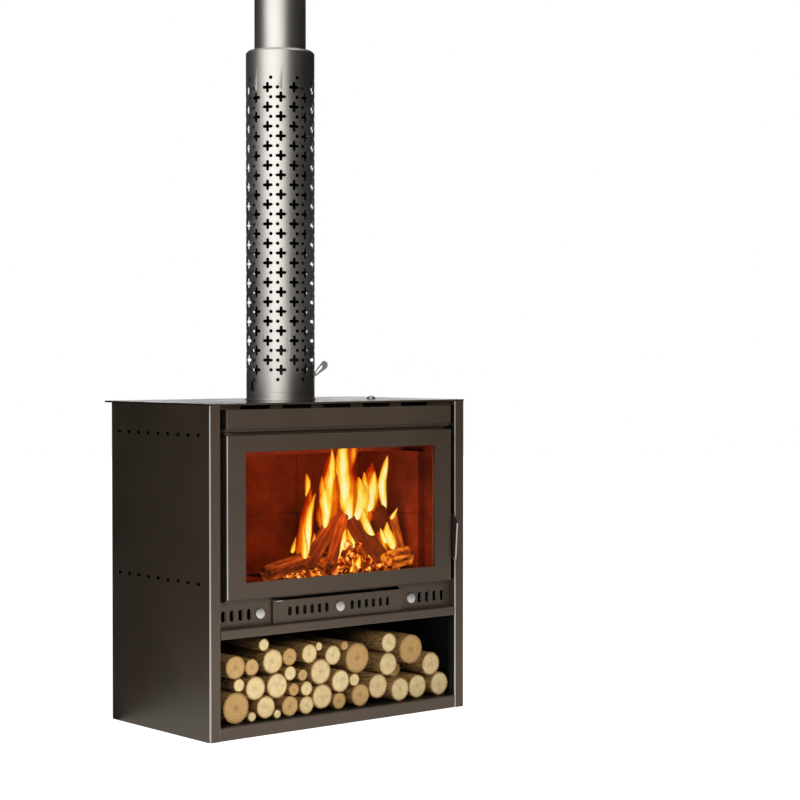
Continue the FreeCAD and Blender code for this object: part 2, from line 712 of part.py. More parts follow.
def handle():
    """A lever on the door's edge whose hook drops behind a keeper pin on the post."""
    y, z = PIVOT_Y, d.pivot_height
    tip = d.hook_reach - d.hook_tip
    profile = [
        (y - d.lever_toe, z - d.lever_drop), (y - d.lever_lean, z + d.lever_rise),
        (y - d.lever_crown_front, z + d.lever_crown), (y - d.lever_crown_back, z + d.lever_crown),
        (y, z + d.hook_height * 2), (y + d.hook_height, z + d.hook_height),
        (y + d.hook_reach, z + d.hook_height), (y + d.hook_reach, z - d.hook_depth),
        (y + tip, z - d.hook_depth), (y + tip, z), (y + d.lever_neck, z),
        (y + d.lever_neck / 2, z - d.lever_neck), (y - d.lever_neck, z - d.lever_neck * 1.2),
    ]
    blank = prism("x", LEVER_LEFT, LEVER_RIGHT, profile)
    bore = rod((LEVER_LEFT - PAST, y, z), d.bolt_radius + d.running_gap, d.lever_gauge + 2 * PAST, "x")
    named(cut(blank, bore), "handle_lever")
    named(handle_bolt(), "handle_bolt")
    keeper_y, keeper_z = y + d.keeper_reach, z - d.keeper_drop
    plate_left = POST - d.gasket_gauge
    plate = box((plate_left, FRONT + d.panel_gauge, keeper_z - d.bracket_half),
                (POST, FRAME_FRONT - PAST, keeper_z + d.bracket_half))
    pin_left = LEVER_LEFT - d.panel_gauge
    pin = rod((pin_left, keeper_y, keeper_z), d.pin_radius, plate_left - pin_left + PAST, "x")
    named(fuse(plate, pin), "latch_keeper")


def handle_bolt():
    """A bolt through the door's edge that the lever turns on, with a nut, a spacer and a head."""
    y, z, gap = PIVOT_Y, d.pivot_height, d.slide_gap
    inside = DOOR_HALF - d.panel_gauge
    end = LEVER_RIGHT + gap + d.panel_gauge
    outline = hexagon(y, z, d.bolt_radius * 1.4)
    nut = prism("x", inside - d.lever_gauge, inside, outline)
    spacer = prism("x", DOOR_HALF, LEVER_LEFT - gap, outline)
    head = prism("x", LEVER_RIGHT + gap, end, outline)
    shank = rod((inside - d.lever_gauge, y, z), d.bolt_radius, end - inside + d.lever_gauge, "x")
    return fuse(nut, spacer, head, shank)


# Air controls and ash drawer


def air_knob(name, x, front, gauge):
    """A low round knob on a stem that ends at the slide behind its plate."""
    radius, height = d.knob_radius, d.knob_height
    stem = gauge + d.slide_gap
    foot = d.slide_gap
    profile = [
        (0, -stem), (d.stem_radius, -stem), (d.stem_radius, foot), (radius, foot),
        (radius, height), (0, height),
    ]
    named(turned(profile, (x, front, d.control_height), 90), name)


def side_air_controls():
    """A slotted slide behind each grille, its knob, and the guides that it runs in."""
    last = d.grille_first + d.grille_pitch * (GRILLE_COUNT - 1)
    front = FRAME_BACK + d.slide_gap
    back = front + d.slide_gauge
    inner = d.air_knob_place - d.knob_radius
    outer = last + d.grille_width
    places = (("left", -outer, -inner, -last), ("right", inner, outer, d.grille_first))
    for name, left, right, first in places:
        outline = rectangle(left, d.control_height - d.slide_half, right, d.control_height + d.slide_half)
        plate = prism("y", front, back, outline)
        opening = oblong(first, d.control_height, d.grille_pitch - d.grille_width, d.grille_length)
        named(punch(plate, "y", d.grille_pitch, GRILLE_COUNT, opening), f"{name}_air_slide")
    air_knob("left_air_knob", -d.air_knob_place, FRAME_FRONT, d.panel_gauge)
    air_knob("right_air_knob", d.air_knob_place, FRAME_FRONT, d.panel_gauge)
    guides = []
    for sign in (-1, 1):
        left, right = -outer - d.air_travel, -inner + d.air_travel
        guides.append(prism("x", left, right, slide_guide(sign, FRAME_BACK)))
        guides.append(prism("x", -right, -left, slide_guide(sign, FRAME_BACK)))
    named(group(*guides), "air_slide_guides")


def slide_guide(sign, front):
    """Section of a guide that laps over the edge of a slide, above it or below it."""
    edge = d.control_height + (d.slide_half + d.slide_gap) * sign
    lap = edge - d.panel_gauge * sign
    far = edge + d.panel_gauge * 2 * sign
    step = front + d.slide_gauge + d.slide_gap * 2
    back = step + d.slide_gauge
    return [(front, edge), (front, far), (back, far), (back, lap), (step, lap), (step, edge)]


def ash_drawer():
    """The slotted drawer front, its pan and pull tab, and the air slide behind the front."""
    half = d.drawer_width / 2
    gauge = d.drawer_gauge
    fold = [
        (-half, DRAWER_BACK), (-half, DRAWER_FRONT), (half, DRAWER_FRONT), (half, DRAWER_BACK),
        (half - gauge, DRAWER_BACK), (half - gauge, DRAWER_INSIDE),
        (gauge - half, DRAWER_INSIDE), (gauge - half, DRAWER_BACK),
    ]
    front = prism("z", d.drawer_bottom, d.drawer_top, fold)
    last = d.drawer_slot_first + d.drawer_slot_pitch * (DRAWER_SLOT_COUNT - 1)
    starts = (-last, d.drawer_slot_first)
    slots = [slot(x, d.control_height, d.drawer_slot_width, d.drawer_slot_length) for x in starts]
    punch(front, "y", d.drawer_slot_pitch, DRAWER_SLOT_COUNT, *slots)
    punch(front, "y", size(0), 1, stem_slot(size(0), d.drawer_air_travel))
    named(front, "ash_drawer_front")
    slide_front = DRAWER_INSIDE + d.slide_gap
    reach = last + d.drawer_slot_pitch
    outline = rectangle(-reach, d.control_height - d.slide_half, reach, d.control_height + d.slide_half)
    plate = prism("y", slide_front, slide_front + d.slide_gauge, outline)
    opening_width = d.drawer_slot_pitch - d.drawer_slot_width
    openings = [oblong(x, d.control_height, opening_width, d.drawer_slot_length) for x in starts]
    named(punch(plate, "y", d.drawer_slot_pitch, DRAWER_SLOT_COUNT, *openings), "drawer_air_slide")
    air_knob("drawer_air_knob", 0, DRAWER_FRONT, gauge)
    guide_end = half - gauge
    guides = [prism("x", -guide_end, guide_end, slide_guide(sign, DRAWER_INSIDE)) for sign in (-1, 1)]
    named(group(*guides), "drawer_slide_guides")
    named(ash_pan(), "ash_pan")
    tab_left = -half
    tab = box((tab_left, DRAWER_FRONT - d.bracket_half, d.drawer_top),
              (tab_left + d.bracket_half * 2, DRAWER_BACK, d.drawer_top + gauge))
    named(tab, "drawer_pull_tab")


def ash_pan():
    """An open pan with a low front wall, so that air reaches the grate over it."""
    half = d.pan_width / 2
    gauge = d.pan_gauge
    front = DRAWER_INSIDE + d.slide_gauge * 2 + d.slide_gap * 2
    blank = box((-half, front, d.pan_bottom), (half, d.pan_rear, d.pan_top))
    inside = box((gauge - half, front + gauge, d.pan_bottom + gauge),
                 (half - gauge, d.pan_rear - gauge, d.pan_top + PAST))
    window = box((gauge - half, front - PAST, d.pan_bottom + d.pan_front_lip),
                 (half - gauge, front + gauge + PAST, d.pan_top + PAST))
    return cut(blank, fuse(inside, window))


def drawer_runners():
    """Angle strips on the shelf that carry and guide the pan."""
    half = d.pan_width / 2
    gauge = d.panel_gauge
    foot = d.pan_bottom - d.seal_gap
    section = [
        (half - d.bracket_half, d.shelf_top), (half + PAST + gauge, d.shelf_top),
        (half + PAST + gauge, foot + d.bracket_half), (half + PAST, foot + d.bracket_half),
        (half + PAST, foot), (half - d.bracket_half, foot),
    ]
    right = prism("y", FRAME_BACK, d.firebox_rear, section)
    named(group(right, mirrored(right)), "drawer_runners")


# Flue


def flue():
    """The pipe that stands in the firebox's collar, the shield round the pipe, and the damper."""
    named(tube(d.pipe_radius, d.pipe_wall, d.pipe_bottom, d.pipe_top), "flue_pipe")
    flue_shield()
    damper()


def flue_shield():
    """The shield's sheet, the foot that it stands on and the cap that closes it on the pipe."""
    sheet = tube(d.shield_radius, d.pipe_wall, d.shield_bottom, d.shield_top)
    half = d.spindle_slot_width / 2
    rise = d.spindle_slot_height / 2
    reach = d.shield_radius + PAST
    spindle_slots = box((-reach, d.flue_back - half, d.damper_height - rise),
                        (reach, d.flue_back + half, d.damper_height + rise))
    named(cut(sheet, spindle_slots), "flue_shield")
    radius, step = d.shield_radius, d.panel_gauge
    foot = [
        (radius - step, TOP), (radius + step, TOP), (radius + step, TOP + step), (radius, TOP + step),
        (radius, d.shield_bottom), (radius - step, d.shield_bottom),
    ]
    top, skirt = d.shield_top + d.cap_height, d.shield_top + d.cap_skirt
    bore = d.pipe_radius + d.pipe_slip
    cap = [
        (radius - step, d.shield_top), (radius, d.shield_top), (radius, skirt), (radius - top + skirt, top),
        (bore, top), (bore, skirt), (radius - step, skirt),
    ]
    axis = (0, d.flue_back, 0)
    named(group(turned(foot, axis), turned(cap, axis)), "shield_end_rings")


def damper():
    """A disc held in a slotted spindle, with a loop handle outside the shield."""
    half = d.damper_gauge / 2
    y, z = d.flue_back, d.damper_height
    disc = rod((0, y - half, z), d.damper_radius, d.damper_gauge, "y")
    named(disc, "damper_disc")
    spindle = rod((-d.spindle_left, y, z), d.spindle_radius, d.spindle_left + d.spindle_right, "x")
    seat = box((-d.damper_radius, y - half, z - d.spindle_radius - PAST),
               (d.damper_radius, y + half, z + d.spindle_radius + PAST))
    named(cut(spindle, seat), "damper_spindle")
    named(damper_handle(), "damper_handle")


def damper_handle():
    """A flat loop that widens upwards and outwards from a neck on the spindle's end."""
    half = d.damper_gauge / 2
    x, z = d.spindle_right, d.damper_height
    root = d.spindle_radius
    neck = z + d.loop_neck
    end_x, top = x + d.loop_reach, z + d.loop_rise
    outline = [
        (x, z - root), (x + root * 1.5, z - root), (x + root * 1.8, neck),
        (end_x - root * 0.7, top - d.loop_end), (end_x, top - d.loop_end * 0.7),
        (end_x - root * 0.2, top - d.loop_end * 0.3), (end_x - root * 1.8, top),
        (end_x - root * 3.4, top), (x, neck),
    ]
    near_x, near_z = x + d.loop_reach * 0.36, z + d.loop_rise * 0.51
    far_x, far_z = x + d.loop_reach * 0.69, z + d.loop_rise * 0.76
    opening = [
        (near_x - root * 0.3, near_z), (near_x + root * 0.2, near_z - root * 0.9), (far_x, far_z - root),
        (far_x + root * 0.6, far_z), (far_x + root * 0.3, far_z + root * 0.9),
        (far_x - root * 0.6, far_z + root * 0.8), (near_x, near_z + root * 0.9),
    ]
    return prism("y", d.flue_back - half, d.flue_back + half, outline, opening)


# The whole stove


def build():
    """Make every sub-part."""
    side_panels()
    base()
    named(folded_shelf(d.shelf_top, d.shelf_lip), "log_shelf")
    rear_panels()
    top_plate()
    front_frame()
    upper_fascia()
    firebox_plates()
    firebox_lining()
    door()
    hinges()
    handle()
    side_air_controls()
    ash_drawer()
    drawer_runners()
    flue()
    doc.recompute()


def check():
    """Stop if anything in the document failed or a sub-part is not sound."""
    for obj in doc.Objects:
        if "Invalid" in obj.State or "Error" in obj.State:
            raise RuntimeError(f"{obj.Label} failed: {obj.State}")
    for part in subparts:
        if part.Shape.isNull() or not part.Shape.isValid():
            raise RuntimeError(f"{part.Label} has no sound shape")


def export():
    """Write each sub-part to its own file."""
    os.makedirs("parts", exist_ok=True)
    for part in subparts:
        part.Shape.exportStep(f"parts/{part.Label}.step")
        print(part.Label, len(part.Shape.Solids), round(part.Shape.Volume))


build()
check()
export()
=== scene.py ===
"""Looks of the wood stove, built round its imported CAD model. Metres; +X right, +Y back, +Z up."""

import json
import math
import random

import bpy
from mathutils import Matrix, Quaternion, Vector

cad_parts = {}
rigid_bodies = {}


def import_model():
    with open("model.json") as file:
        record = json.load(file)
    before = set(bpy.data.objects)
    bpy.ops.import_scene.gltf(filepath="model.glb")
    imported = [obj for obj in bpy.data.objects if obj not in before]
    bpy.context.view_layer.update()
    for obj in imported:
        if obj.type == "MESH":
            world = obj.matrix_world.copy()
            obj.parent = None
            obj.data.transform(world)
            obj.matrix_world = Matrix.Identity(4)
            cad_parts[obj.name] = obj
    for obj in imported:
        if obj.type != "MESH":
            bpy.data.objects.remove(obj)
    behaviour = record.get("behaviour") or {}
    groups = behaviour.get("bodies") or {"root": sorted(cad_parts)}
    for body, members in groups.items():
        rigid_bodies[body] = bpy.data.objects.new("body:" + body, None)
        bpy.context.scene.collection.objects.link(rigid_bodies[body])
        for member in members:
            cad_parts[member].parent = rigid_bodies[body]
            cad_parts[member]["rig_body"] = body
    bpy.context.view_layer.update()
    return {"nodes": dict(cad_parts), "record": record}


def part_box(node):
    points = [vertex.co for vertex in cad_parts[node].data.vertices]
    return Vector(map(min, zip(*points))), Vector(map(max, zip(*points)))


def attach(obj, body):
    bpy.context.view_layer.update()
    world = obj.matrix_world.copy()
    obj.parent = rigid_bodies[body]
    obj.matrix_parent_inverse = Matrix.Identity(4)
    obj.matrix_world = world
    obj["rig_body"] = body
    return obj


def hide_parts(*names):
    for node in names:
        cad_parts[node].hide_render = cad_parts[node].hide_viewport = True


bl_info = {
    "name": "Wood Stove",
    "version": (1, 0, 0),
    "blender": (4, 5, 0),
    "location": "View3D > Sidebar > Stove",
    "description": "Finishes a sheet steel wood stove with its firewood and fire, and sets its stage",
    "category": "Object",
}

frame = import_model()
SEED = 7
# Points closer than this are one point
WELD = 0.00001
# Smallest gap between two pieces
CLEAR = 0.0005
# Least cosine for a face that looks in a direction, and for one that is no part of a rounded edge
FACING = 0.9
FLAT = 0.99
# Depth of the grain in a coat or metal, and how much its gloss varies
GRAIN_DEPTH = 0.00002
UNEVEN = 0.05
FIRE_LIGHT = (1.0, 0.085, 0.005)

SHIELD_LOW, SHIELD_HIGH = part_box("flue_shield")
SHIELD_RADIUS = (SHIELD_HIGH.x - SHIELD_LOW.x) / 2
PANEL_LOW, PANEL_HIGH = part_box("right_side_panel")
DOOR_LOW, DOOR_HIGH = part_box("door_frame")
FRONT = PANEL_LOW.y
# The sheets keep their colour up to this depth; behind it, in the log store and beside the door, they carry
# black painted shade
SHADE_FROM = FRONT + 0.004
STORE_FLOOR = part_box("base_plate")[1].z
STORE_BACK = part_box("rear_panel")[0].y
STORE_HALF = PANEL_HIGH.x - 0.002
SHADED_STORE_LOW = Vector((-STORE_HALF, SHADE_FROM, STORE_FLOOR))
SHADED_STORE_HIGH = Vector((STORE_HALF, STORE_BACK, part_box("log_shelf")[0].z))
SHADED_GAP_LOW = Vector((DOOR_HIGH.x + CLEAR, SHADE_FROM, DOOR_LOW.z))
SHADED_GAP_HIGH = Vector((PANEL_LOW.x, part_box("front_frame")[1].y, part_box("upper_fascia")[1].z))
AXIS_Y = (SHIELD_LOW.y + SHIELD_HIGH.y) / 2
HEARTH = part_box("floor_firebricks")[1].z
CABINET_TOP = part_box("top_plate")[1].z

# Where each finish goes, by the record's material slots
FINISH_OF_SLOT = {
    "cabinet_paint": "bronze_coat",
    "front_paint": "bronze_coat",
    "bare_steel": "zinc_sheet",
    "firebox_steel": "furnace_black",
    "firebrick": "sooted_brick",
    "grate_iron": "cast_grate",
    "hardware": "plated_steel",
    "flue_steel": "flue_metal",
    "window_glass": "stove_glass",
    "rope_seal": "rope_seal",
    "handle_metal": "plated_steel",
    "knob_metal": "knob_metal",
}
# Nodes whose finish differs from the rest of their slot
FINISH_OF_NODE = {
    "hinge_brackets": "bronze_coat",
    "hinge_pivots": "bronze_coat",
    "flue_pipe": "shade_painted_pipe",
    "firebox_left_wall": "scaled_steel",
    "firebox_right_wall": "scaled_steel",
    "firebox_floor": "scaled_steel",
}


# Settings that a user would change


def colour_setting(name, description, default):
    """A colour."""
    return bpy.props.FloatVectorProperty(
        name=name, description=description, subtype="COLOR", default=default, min=0, max=1)


def length_setting(name, description, default):
    """A length in metres."""
    return bpy.props.FloatProperty(name=name, description=description, unit="LENGTH", default=default, min=0)


def place_setting(name, description, default):
    """A point in metres."""
    return bpy.props.FloatVectorProperty(
        name=name, description=description, subtype="XYZ", unit="LENGTH", default=default)


def angle_setting(name, description, degrees):
    """An angle, given in degrees."""
    return bpy.props.FloatProperty(
        name=name, description=description, subtype="ANGLE", default=math.radians(degrees))


def factor_setting(name, description, default):
    """A share of one."""
    return bpy.props.FloatProperty(
        name=name, description=description, subtype="FACTOR", default=default, min=0, max=1)


def count_setting(name, description, default):
    """A number of pieces."""
    return bpy.props.IntProperty(name=name, description=description, default=default, min=1)


class StoveFinishes(bpy.types.PropertyGroup):
    """Colours and gloss of the stove"""

    coat_colour: colour_setting(
        "Coat Colour", "Bronze grey coat of the cabinet and door", (0.086, 0.0615, 0.043))
    coat_roughness: factor_setting("Coat Roughness", "Gloss of the coat", 0.42)
    flue_colour: colour_setting("Flue Colour", "Metal of the flue pipe and its shield", (0.60, 0.57, 0.53))
    flue_roughness: factor_setting("Flue Roughness", "Gloss of the flue", 0.40)
    knob_colour: colour_setting("Knob Colour", "Satin metal of the air knobs", (0.62, 0.60, 0.57))
    brick_colour: colour_setting("Brick Colour", "Firebricks under their soot", (0.20, 0.11, 0.07))
    fold_radius: length_setting("Fold Radius", "Outside radius of the folded sheets", 0.0035)
    edge_radius: length_setting("Edge Radius", "Broken edge of cut sheets", 0.0006)


class ShieldPattern(bpy.types.PropertyGroup):
    """Perforation of the flue shield"""

    pairs: count_setting("Column Pairs", "Pairs of staggered columns of crosses", 8)
    rows: count_setting("Rows", "Crosses in a column", 15)
    pitch: length_setting("Row Pitch", "Distance between crosses in a column", 0.0569)
    first_row: length_setting("First Row", "Height of the lowest cross over the sheet's lower edge", 0.0940)
    cross_span: length_setting("Cross Span", "Cross from end to end", 0.0318)
    cross_arm: length_setting("Cross Arm", "Width of a cross's arm", 0.0092)
    dot: length_setting("Dot", "Diameter of the round holes", 0.0108)
    dot_offset: length_setting("Dot Offset", "Round hole to the middle of its column", 0.0099)
    turn: angle_setting("Turn", "First column from the front, to the right", -58.1)
    thickness: length_setting("Sheet", "Thickness of the sheet", 0.0012)


class FireSettings(bpy.types.PropertyGroup):
    """Firewood in the store and the fire on the hearth"""

    log_length: length_setting("Log Length", "Stored logs", 0.40)
    bark: length_setting("Bark", "Thickness of the bark", 0.0025)
    wood_colour: colour_setting("Wood Colour", "Cut ends of the logs", (0.87, 0.69, 0.36))
    bark_colour: colour_setting("Bark Colour", "Bark of the logs", (0.285, 0.162, 0.053))
    fire_place: place_setting("Fire Place", "Middle of the fire on the hearth", (0.10, -0.11, HEARTH))
    embers: count_setting("Embers", "Lumps of glowing charcoal", 150)
    flame_glow: bpy.props.FloatProperty(
        name="Flame Glow", description="Light that the flames give off", default=1.1, min=0)


class StageSettings(bpy.types.PropertyGroup):
    """Camera, floor and the screen that reflections show"""

    camera_place: place_setting("Camera Place", "Viewpoint of the picture", (-3.631, -4.834, 1.067))
    camera_turn: bpy.props.FloatVectorProperty(
        name="Camera Turn", description="Direction of view", subtype="EULER",
        default=(math.radians(88.67), 0, math.radians(-39.97)))
    lens: bpy.props.FloatProperty(
        name="Lens", description="Focal length on a 36 mm sensor", unit="CAMERA", default=91.9)
    floor: length_setting("Floor", "Diameter of the floor", 30)
    pale: colour_setting("Pale", "Colour of the floor", (0.9, 0.9, 0.9))
    screen: length_setting("Screen", "Radius of the dark screen", 3.2)
    opening_start: angle_setting("Opening Start", "Opening of the screen, from the front to the left", 14)
    opening_end: angle_setting("Opening End", "Far end of that opening", 113)
    opening_full: length_setting("Opening Full", "Height from which the opening has its full width", 2.3)
    opening_slant: angle_setting("Opening Slant", "Narrowing of the opening for each metre below that", 36)
    back_start: angle_setting("Back Start", "Low opening at the back right, from the front to the left", -160)
    back_end: angle_setting("Back End", "Far end of the low opening", -122)
    low_band: length_setting("Low Band", "Height of the low opening", 1.15)


# Selecting and shaping


def select_only(*pieces):
    """Make these the only selected objects, the first of them active."""
    bpy.ops.object.select_all(action="DESELECT")
    for piece in pieces:
        piece.select_set(True)
    bpy.context.view_layer.objects.active = pieces[0]


def edit(piece):
    """Open a piece in edit mode with all of it selected."""
    select_only(piece)
    bpy.ops.object.mode_set(mode="EDIT")
    bpy.ops.mesh.select_mode(type="VERT")
    bpy.ops.mesh.select_all(action="SELECT")


def choose_faces(piece, test):
    """Select the faces of an open piece that pass a test."""
    bpy.ops.mesh.select_mode(type="FACE")
    bpy.ops.mesh.select_all(action="DESELECT")
    bpy.ops.object.mode_set(mode="OBJECT")
    for face in piece.data.polygons:
        face.select = test(face)
    bpy.ops.object.mode_set(mode="EDIT")


def choose_edges(piece, test):
    """Select the edges of an open piece whose two ends pass a test."""
    bpy.ops.mesh.select_mode(type="EDGE")
    bpy.ops.mesh.select_all(action="DESELECT")
    bpy.ops.object.mode_set(mode="OBJECT")
    points = piece.data.vertices
    for line in piece.data.edges:
        line.select = test([points[index].co for index in line.vertices])
    bpy.ops.object.mode_set(mode="EDIT")


def cut_across(axis, levels):
    """Cut an open piece by planes across one axis."""
    for level in levels:
        bpy.ops.mesh.select_all(action="SELECT")
        bpy.ops.mesh.bisect(plane_co=Vector(axis) * level, plane_no=axis)


def close():
    """Leave edit mode."""
    bpy.ops.object.mode_set(mode="OBJECT")


def apply_modifier(piece, kind, **settings):
    """Add a modifier to a piece and apply it."""
    select_only(piece)
    modifier = piece.modifiers.new(kind.title(), kind)
    for name, value in settings.items():
        setattr(modifier, name, value)
    bpy.ops.object.modifier_apply(modifier=modifier.name)


def settle(piece):
    """Put a piece's place, turn and scale into its mesh."""
    select_only(piece)
    bpy.ops.object.transform_apply(location=True, rotation=True, scale=True)


def smooth(piece, angle=35):
    """Shade a piece smooth except across sharp edges."""
    select_only(piece)
    bpy.ops.object.shade_smooth_by_angle(angle=math.radians(angle))


def outward(piece):
    """Merge doubles and turn all faces outwards."""
    edit(piece)
    bpy.ops.mesh.remove_doubles(threshold=WELD)
    bpy.ops.mesh.normals_make_consistent(inside=False)
    close()


def joined(pieces, name):
    """One piece from several."""
    select_only(*pieces)
    bpy.ops.object.join()
    whole = bpy.context.object
    whole.name = name
    return whole


def wear(piece, finish):
    """Give a piece one finish all over."""
    piece.data.materials.clear()
    piece.data.materials.append(bpy.data.materials[finish])


def copy_of(node, name):
    """A welded copy of a CAD node, to be shaped in its place."""
    piece = bpy.data.objects.new(name, frame["nodes"][node].data.copy())
    bpy.context.scene.collection.objects.link(piece)
    edit(piece)
    bpy.ops.mesh.customdata_custom_splitnormals_clear()
    bpy.ops.mesh.select_all(action="SELECT")
    bpy.ops.mesh.remove_doubles(threshold=WELD)
    bpy.ops.mesh.dissolve_limited(angle_limit=math.radians(1))
    close()
    return piece


def copied(piece, name, move):
    """A moved copy of a piece, with its own mesh."""
    copy = bpy.data.objects.new(name, piece.data.copy())
    bpy.context.scene.collection.objects.link(copy)
    copy.location = move
    settle(copy)
    return copy


def outer_edge(node, side):
    """A test for the edges on one outer side of a node's front face."""
    low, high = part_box(node)
    axis, limit = {"left": (0, low.x), "right": (0, high.x), "bottom": (2, low.z), "top": (2, high.z)}[side]

    def test(ends):
        return all(abs(end.y - low.y) < WELD and abs(end[axis] - limit) < WELD for end in ends)

    return test


def folded(node, sides, highlighted_sides):
    """A copy of a sheet node with broken edges and rounded folds on its front face, some of the folds in a
    light metal finish that paints their highlight.
    """
    finishes = bpy.context.scene.stove_finishes
    piece = copy_of(node, node + "_sheet")
    wear(piece, "bronze_coat")
    piece.data.materials.append(bpy.data.materials["painted_highlight_fold"])
    for side in sides:
        edit(piece)
        choose_edges(piece, outer_edge(node, side))
        bpy.ops.mesh.bevel(offset=finishes.fold_radius, segments=4, affect="EDGES", clamp_overlap=True,
                           material=1 if side in highlighted_sides else 0)
        close()
    return broken_edges(piece)


def bevelled(piece, width, segments):
    """Bevel the sharp edges of a piece."""
    apply_modifier(piece, "BEVEL", width=width, segments=segments, limit_method="ANGLE",
                   angle_limit=math.radians(40))


def broken_edges(piece):
    """Break the sharp edges of a piece, with even shading across them."""
    bevelled(piece, bpy.context.scene.stove_finishes.edge_radius, 2)
    smooth(piece)
    apply_modifier(piece, "WEIGHTED_NORMAL", weight=100, keep_sharp=True)
    return piece


def dress(piece, node, finish=None):
    """Let a piece stand for a CAD node, on its body and in its finish."""
    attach(piece, frame["nodes"][node]["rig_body"])
    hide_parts(node)
    if finish:
        wear(piece, finish)


def slot_of(node):
    """The record's material slot of a node."""
    for entry in frame["record"]["subparts"]:
        if entry["node"] == node:
            return entry["material_slot"]
    raise ValueError(f"{node} has no material slot")


# Shader nodes


def put(tree, kind, inputs=None, **settings):
    """Add a shader node, set its options, and set or link its inputs."""
    node = tree.nodes.new("ShaderNode" + kind)
    for name, value in settings.items():
        setattr(node, name, value)
    for key, value in (inputs or {}).items():
        if isinstance(value, bpy.types.NodeSocket):
            tree.links.new(value, node.inputs[key])
        else:
            node.inputs[key].default_value = value
    return node


def math_of(tree, operation, first, second=0.0):
    """The result of one sum."""
    return put(tree, "Math", {0: first, 1: second}, operation=operation).outputs[0]


def plus(tree, first, second):
    """Two values added."""
    return math_of(tree, "ADD", first, second)


def times(tree, first, second):
    """Two values multiplied."""
    return math_of(tree, "MULTIPLY", first, second)


def ranged(tree, value, low, high, start=0.0, end=1.0):
    """A value moved from one range to another, and kept within it."""
    inputs = {"Value": value, "From Min": start, "From Max": end, "To Min": low, "To Max": high}
    return put(tree, "MapRange", inputs).outputs[0]


def opaque(colour):
    """A colour with full alpha."""
    return (*colour[:3], 1.0)


def shade(colour, factor):
    """A lighter or darker colour."""
    return opaque([channel * factor for channel in colour[:3]])


def mixed(tree, factor, first, second):
    """A colour between two colours, each of them plain or from another node."""
    node = put(tree, "Mix", {0: factor}, data_type="RGBA")
    for index, colour in ((6, first), (7, second)):
        if isinstance(colour, bpy.types.NodeSocket):
            tree.links.new(colour, node.inputs[index])
        else:
            node.inputs[index].default_value = opaque(colour)
    return node.outputs[2]


def varied(tree, factor, colour, spread):
    """A colour that gets darker and lighter by a share of itself."""
    return mixed(tree, factor, shade(colour, 1 - spread), shade(colour, 1 + spread))


def ramp(tree, factor, *stops):
    """A colour from a ramp of places and colours."""
    node = put(tree, "ValToRGB", {"Fac": factor})
    elements = node.color_ramp.elements
    while len(elements) < len(stops):
        elements.new(0.5)
    for element, (place, colour) in zip(elements, stops):
        element.position = place
        element.color = opaque(colour)
    return node.outputs["Color"]


def object_place(tree):
    """A point of the piece in the part's own frame."""
    return put(tree, "TexCoord").outputs["Object"]


def axes_of(tree):
    """The three coordinates of that point."""
    return put(tree, "SeparateXYZ", {0: object_place(tree)}).outputs


def stretched(tree, place, *scale):
    """A place scaled along its axes, so that a pattern on it is drawn out."""
    return put(tree, "Mapping", {"Vector": place, "Scale": scale}).outputs[0]


def own_value(tree, name):
    """An attribute of the piece."""
    return put(tree, "Attribute", attribute_name=name).outputs["Fac"]


def noise(tree, scale, detail=3.0, roughness=0.55, place=None):
    """A noise between about 0.3 and 0.7."""
    place = object_place(tree) if place is None else place
    inputs = {"Vector": place, "Scale": scale, "Detail": detail, "Roughness": roughness}
    return put(tree, "TexNoise", inputs).outputs[0]


def bumped(tree, height, strength, distance):
    """A normal from a height."""
    return put(tree, "Bump", {"Height": height, "Strength": strength, "Distance": distance}).outputs["Normal"]


def new_group(name, inputs, outputs):
    """An empty shader group with named values in and out."""
    group = bpy.data.node_groups.new(name, "ShaderNodeTree")
    for label, default in inputs:
        socket = group.interface.new_socket(label, in_out="INPUT", socket_type="NodeSocketFloat")
        socket.default_value = default
    for label in outputs:
        group.interface.new_socket(label, in_out="OUTPUT", socket_type="NodeSocketFloat")
    return group, group.nodes.new("NodeGroupInput"), group.nodes.new("NodeGroupOutput")


def grain_group():
    """Fine grain of a coat or of rolled metal, with slow changes of tone."""
    group, given, result = new_group("grain", [("Scale", 900.0), ("Stretch", 1.0)], ["Tone", "Height"])
    axes = put(group, "CombineXYZ", {0: 1.0, 1: 1.0, 2: given.outputs["Stretch"]}).outputs[0]
    place = put(group, "VectorMath", {0: object_place(group), 1: axes}, operation="MULTIPLY").outputs[0]
    fine = noise(group, given.outputs["Scale"], 2.0, place=place)
    broad = noise(group, 3.5, 4.0)
    tone = plus(group, times(group, fine, 0.45), times(group, broad, 0.55))
    group.links.new(ranged(group, tone, 0.0, 1.0, 0.35, 0.65), result.inputs["Tone"])
    group.links.new(fine, result.inputs["Height"])


def soot_group():
    """Patches of soot with soft edges, over a share of the surface."""
    group, given, result = new_group("soot", [("Scale", 9.0), ("Cover", 0.5)], ["Mask"])
    patches = noise(group, given.outputs["Scale"], 6.0, 0.65)
    edge = math_of(group, "SUBTRACT", 1.0, given.outputs["Cover"])
    softness = 0.18
    start = math_of(group, "SUBTRACT", edge, softness)
    mask = ranged(group, patches, 0.0, 1.0, start, plus(group, edge, softness))
    group.links.new(mask, result.inputs["Mask"])


def placed_group(tree, name, **inputs):
    """A shader group in a material, with its own values."""
    node = tree.nodes.new("ShaderNodeGroup")
    node.node_tree = bpy.data.node_groups[name]
    for label, value in inputs.items():
        node.inputs[label].default_value = value
    return node.outputs


def new_material(name, **plain):
    """A material with a principled shader and its plain values."""
    material = bpy.data.materials.new(name)
    material.use_nodes = True
    tree = material.node_tree
    shader = tree.nodes["Principled BSDF"]
    for label, value in plain.items():
        shader.inputs[label.replace("_", " ")].default_value = value
    return tree, shader


def lay(tree, shader, **sockets):
    """Link values to the shader's sockets."""
    for label, value in sockets.items():
        tree.links.new(value, shader.inputs[label.replace("_", " ")])


# Finishes


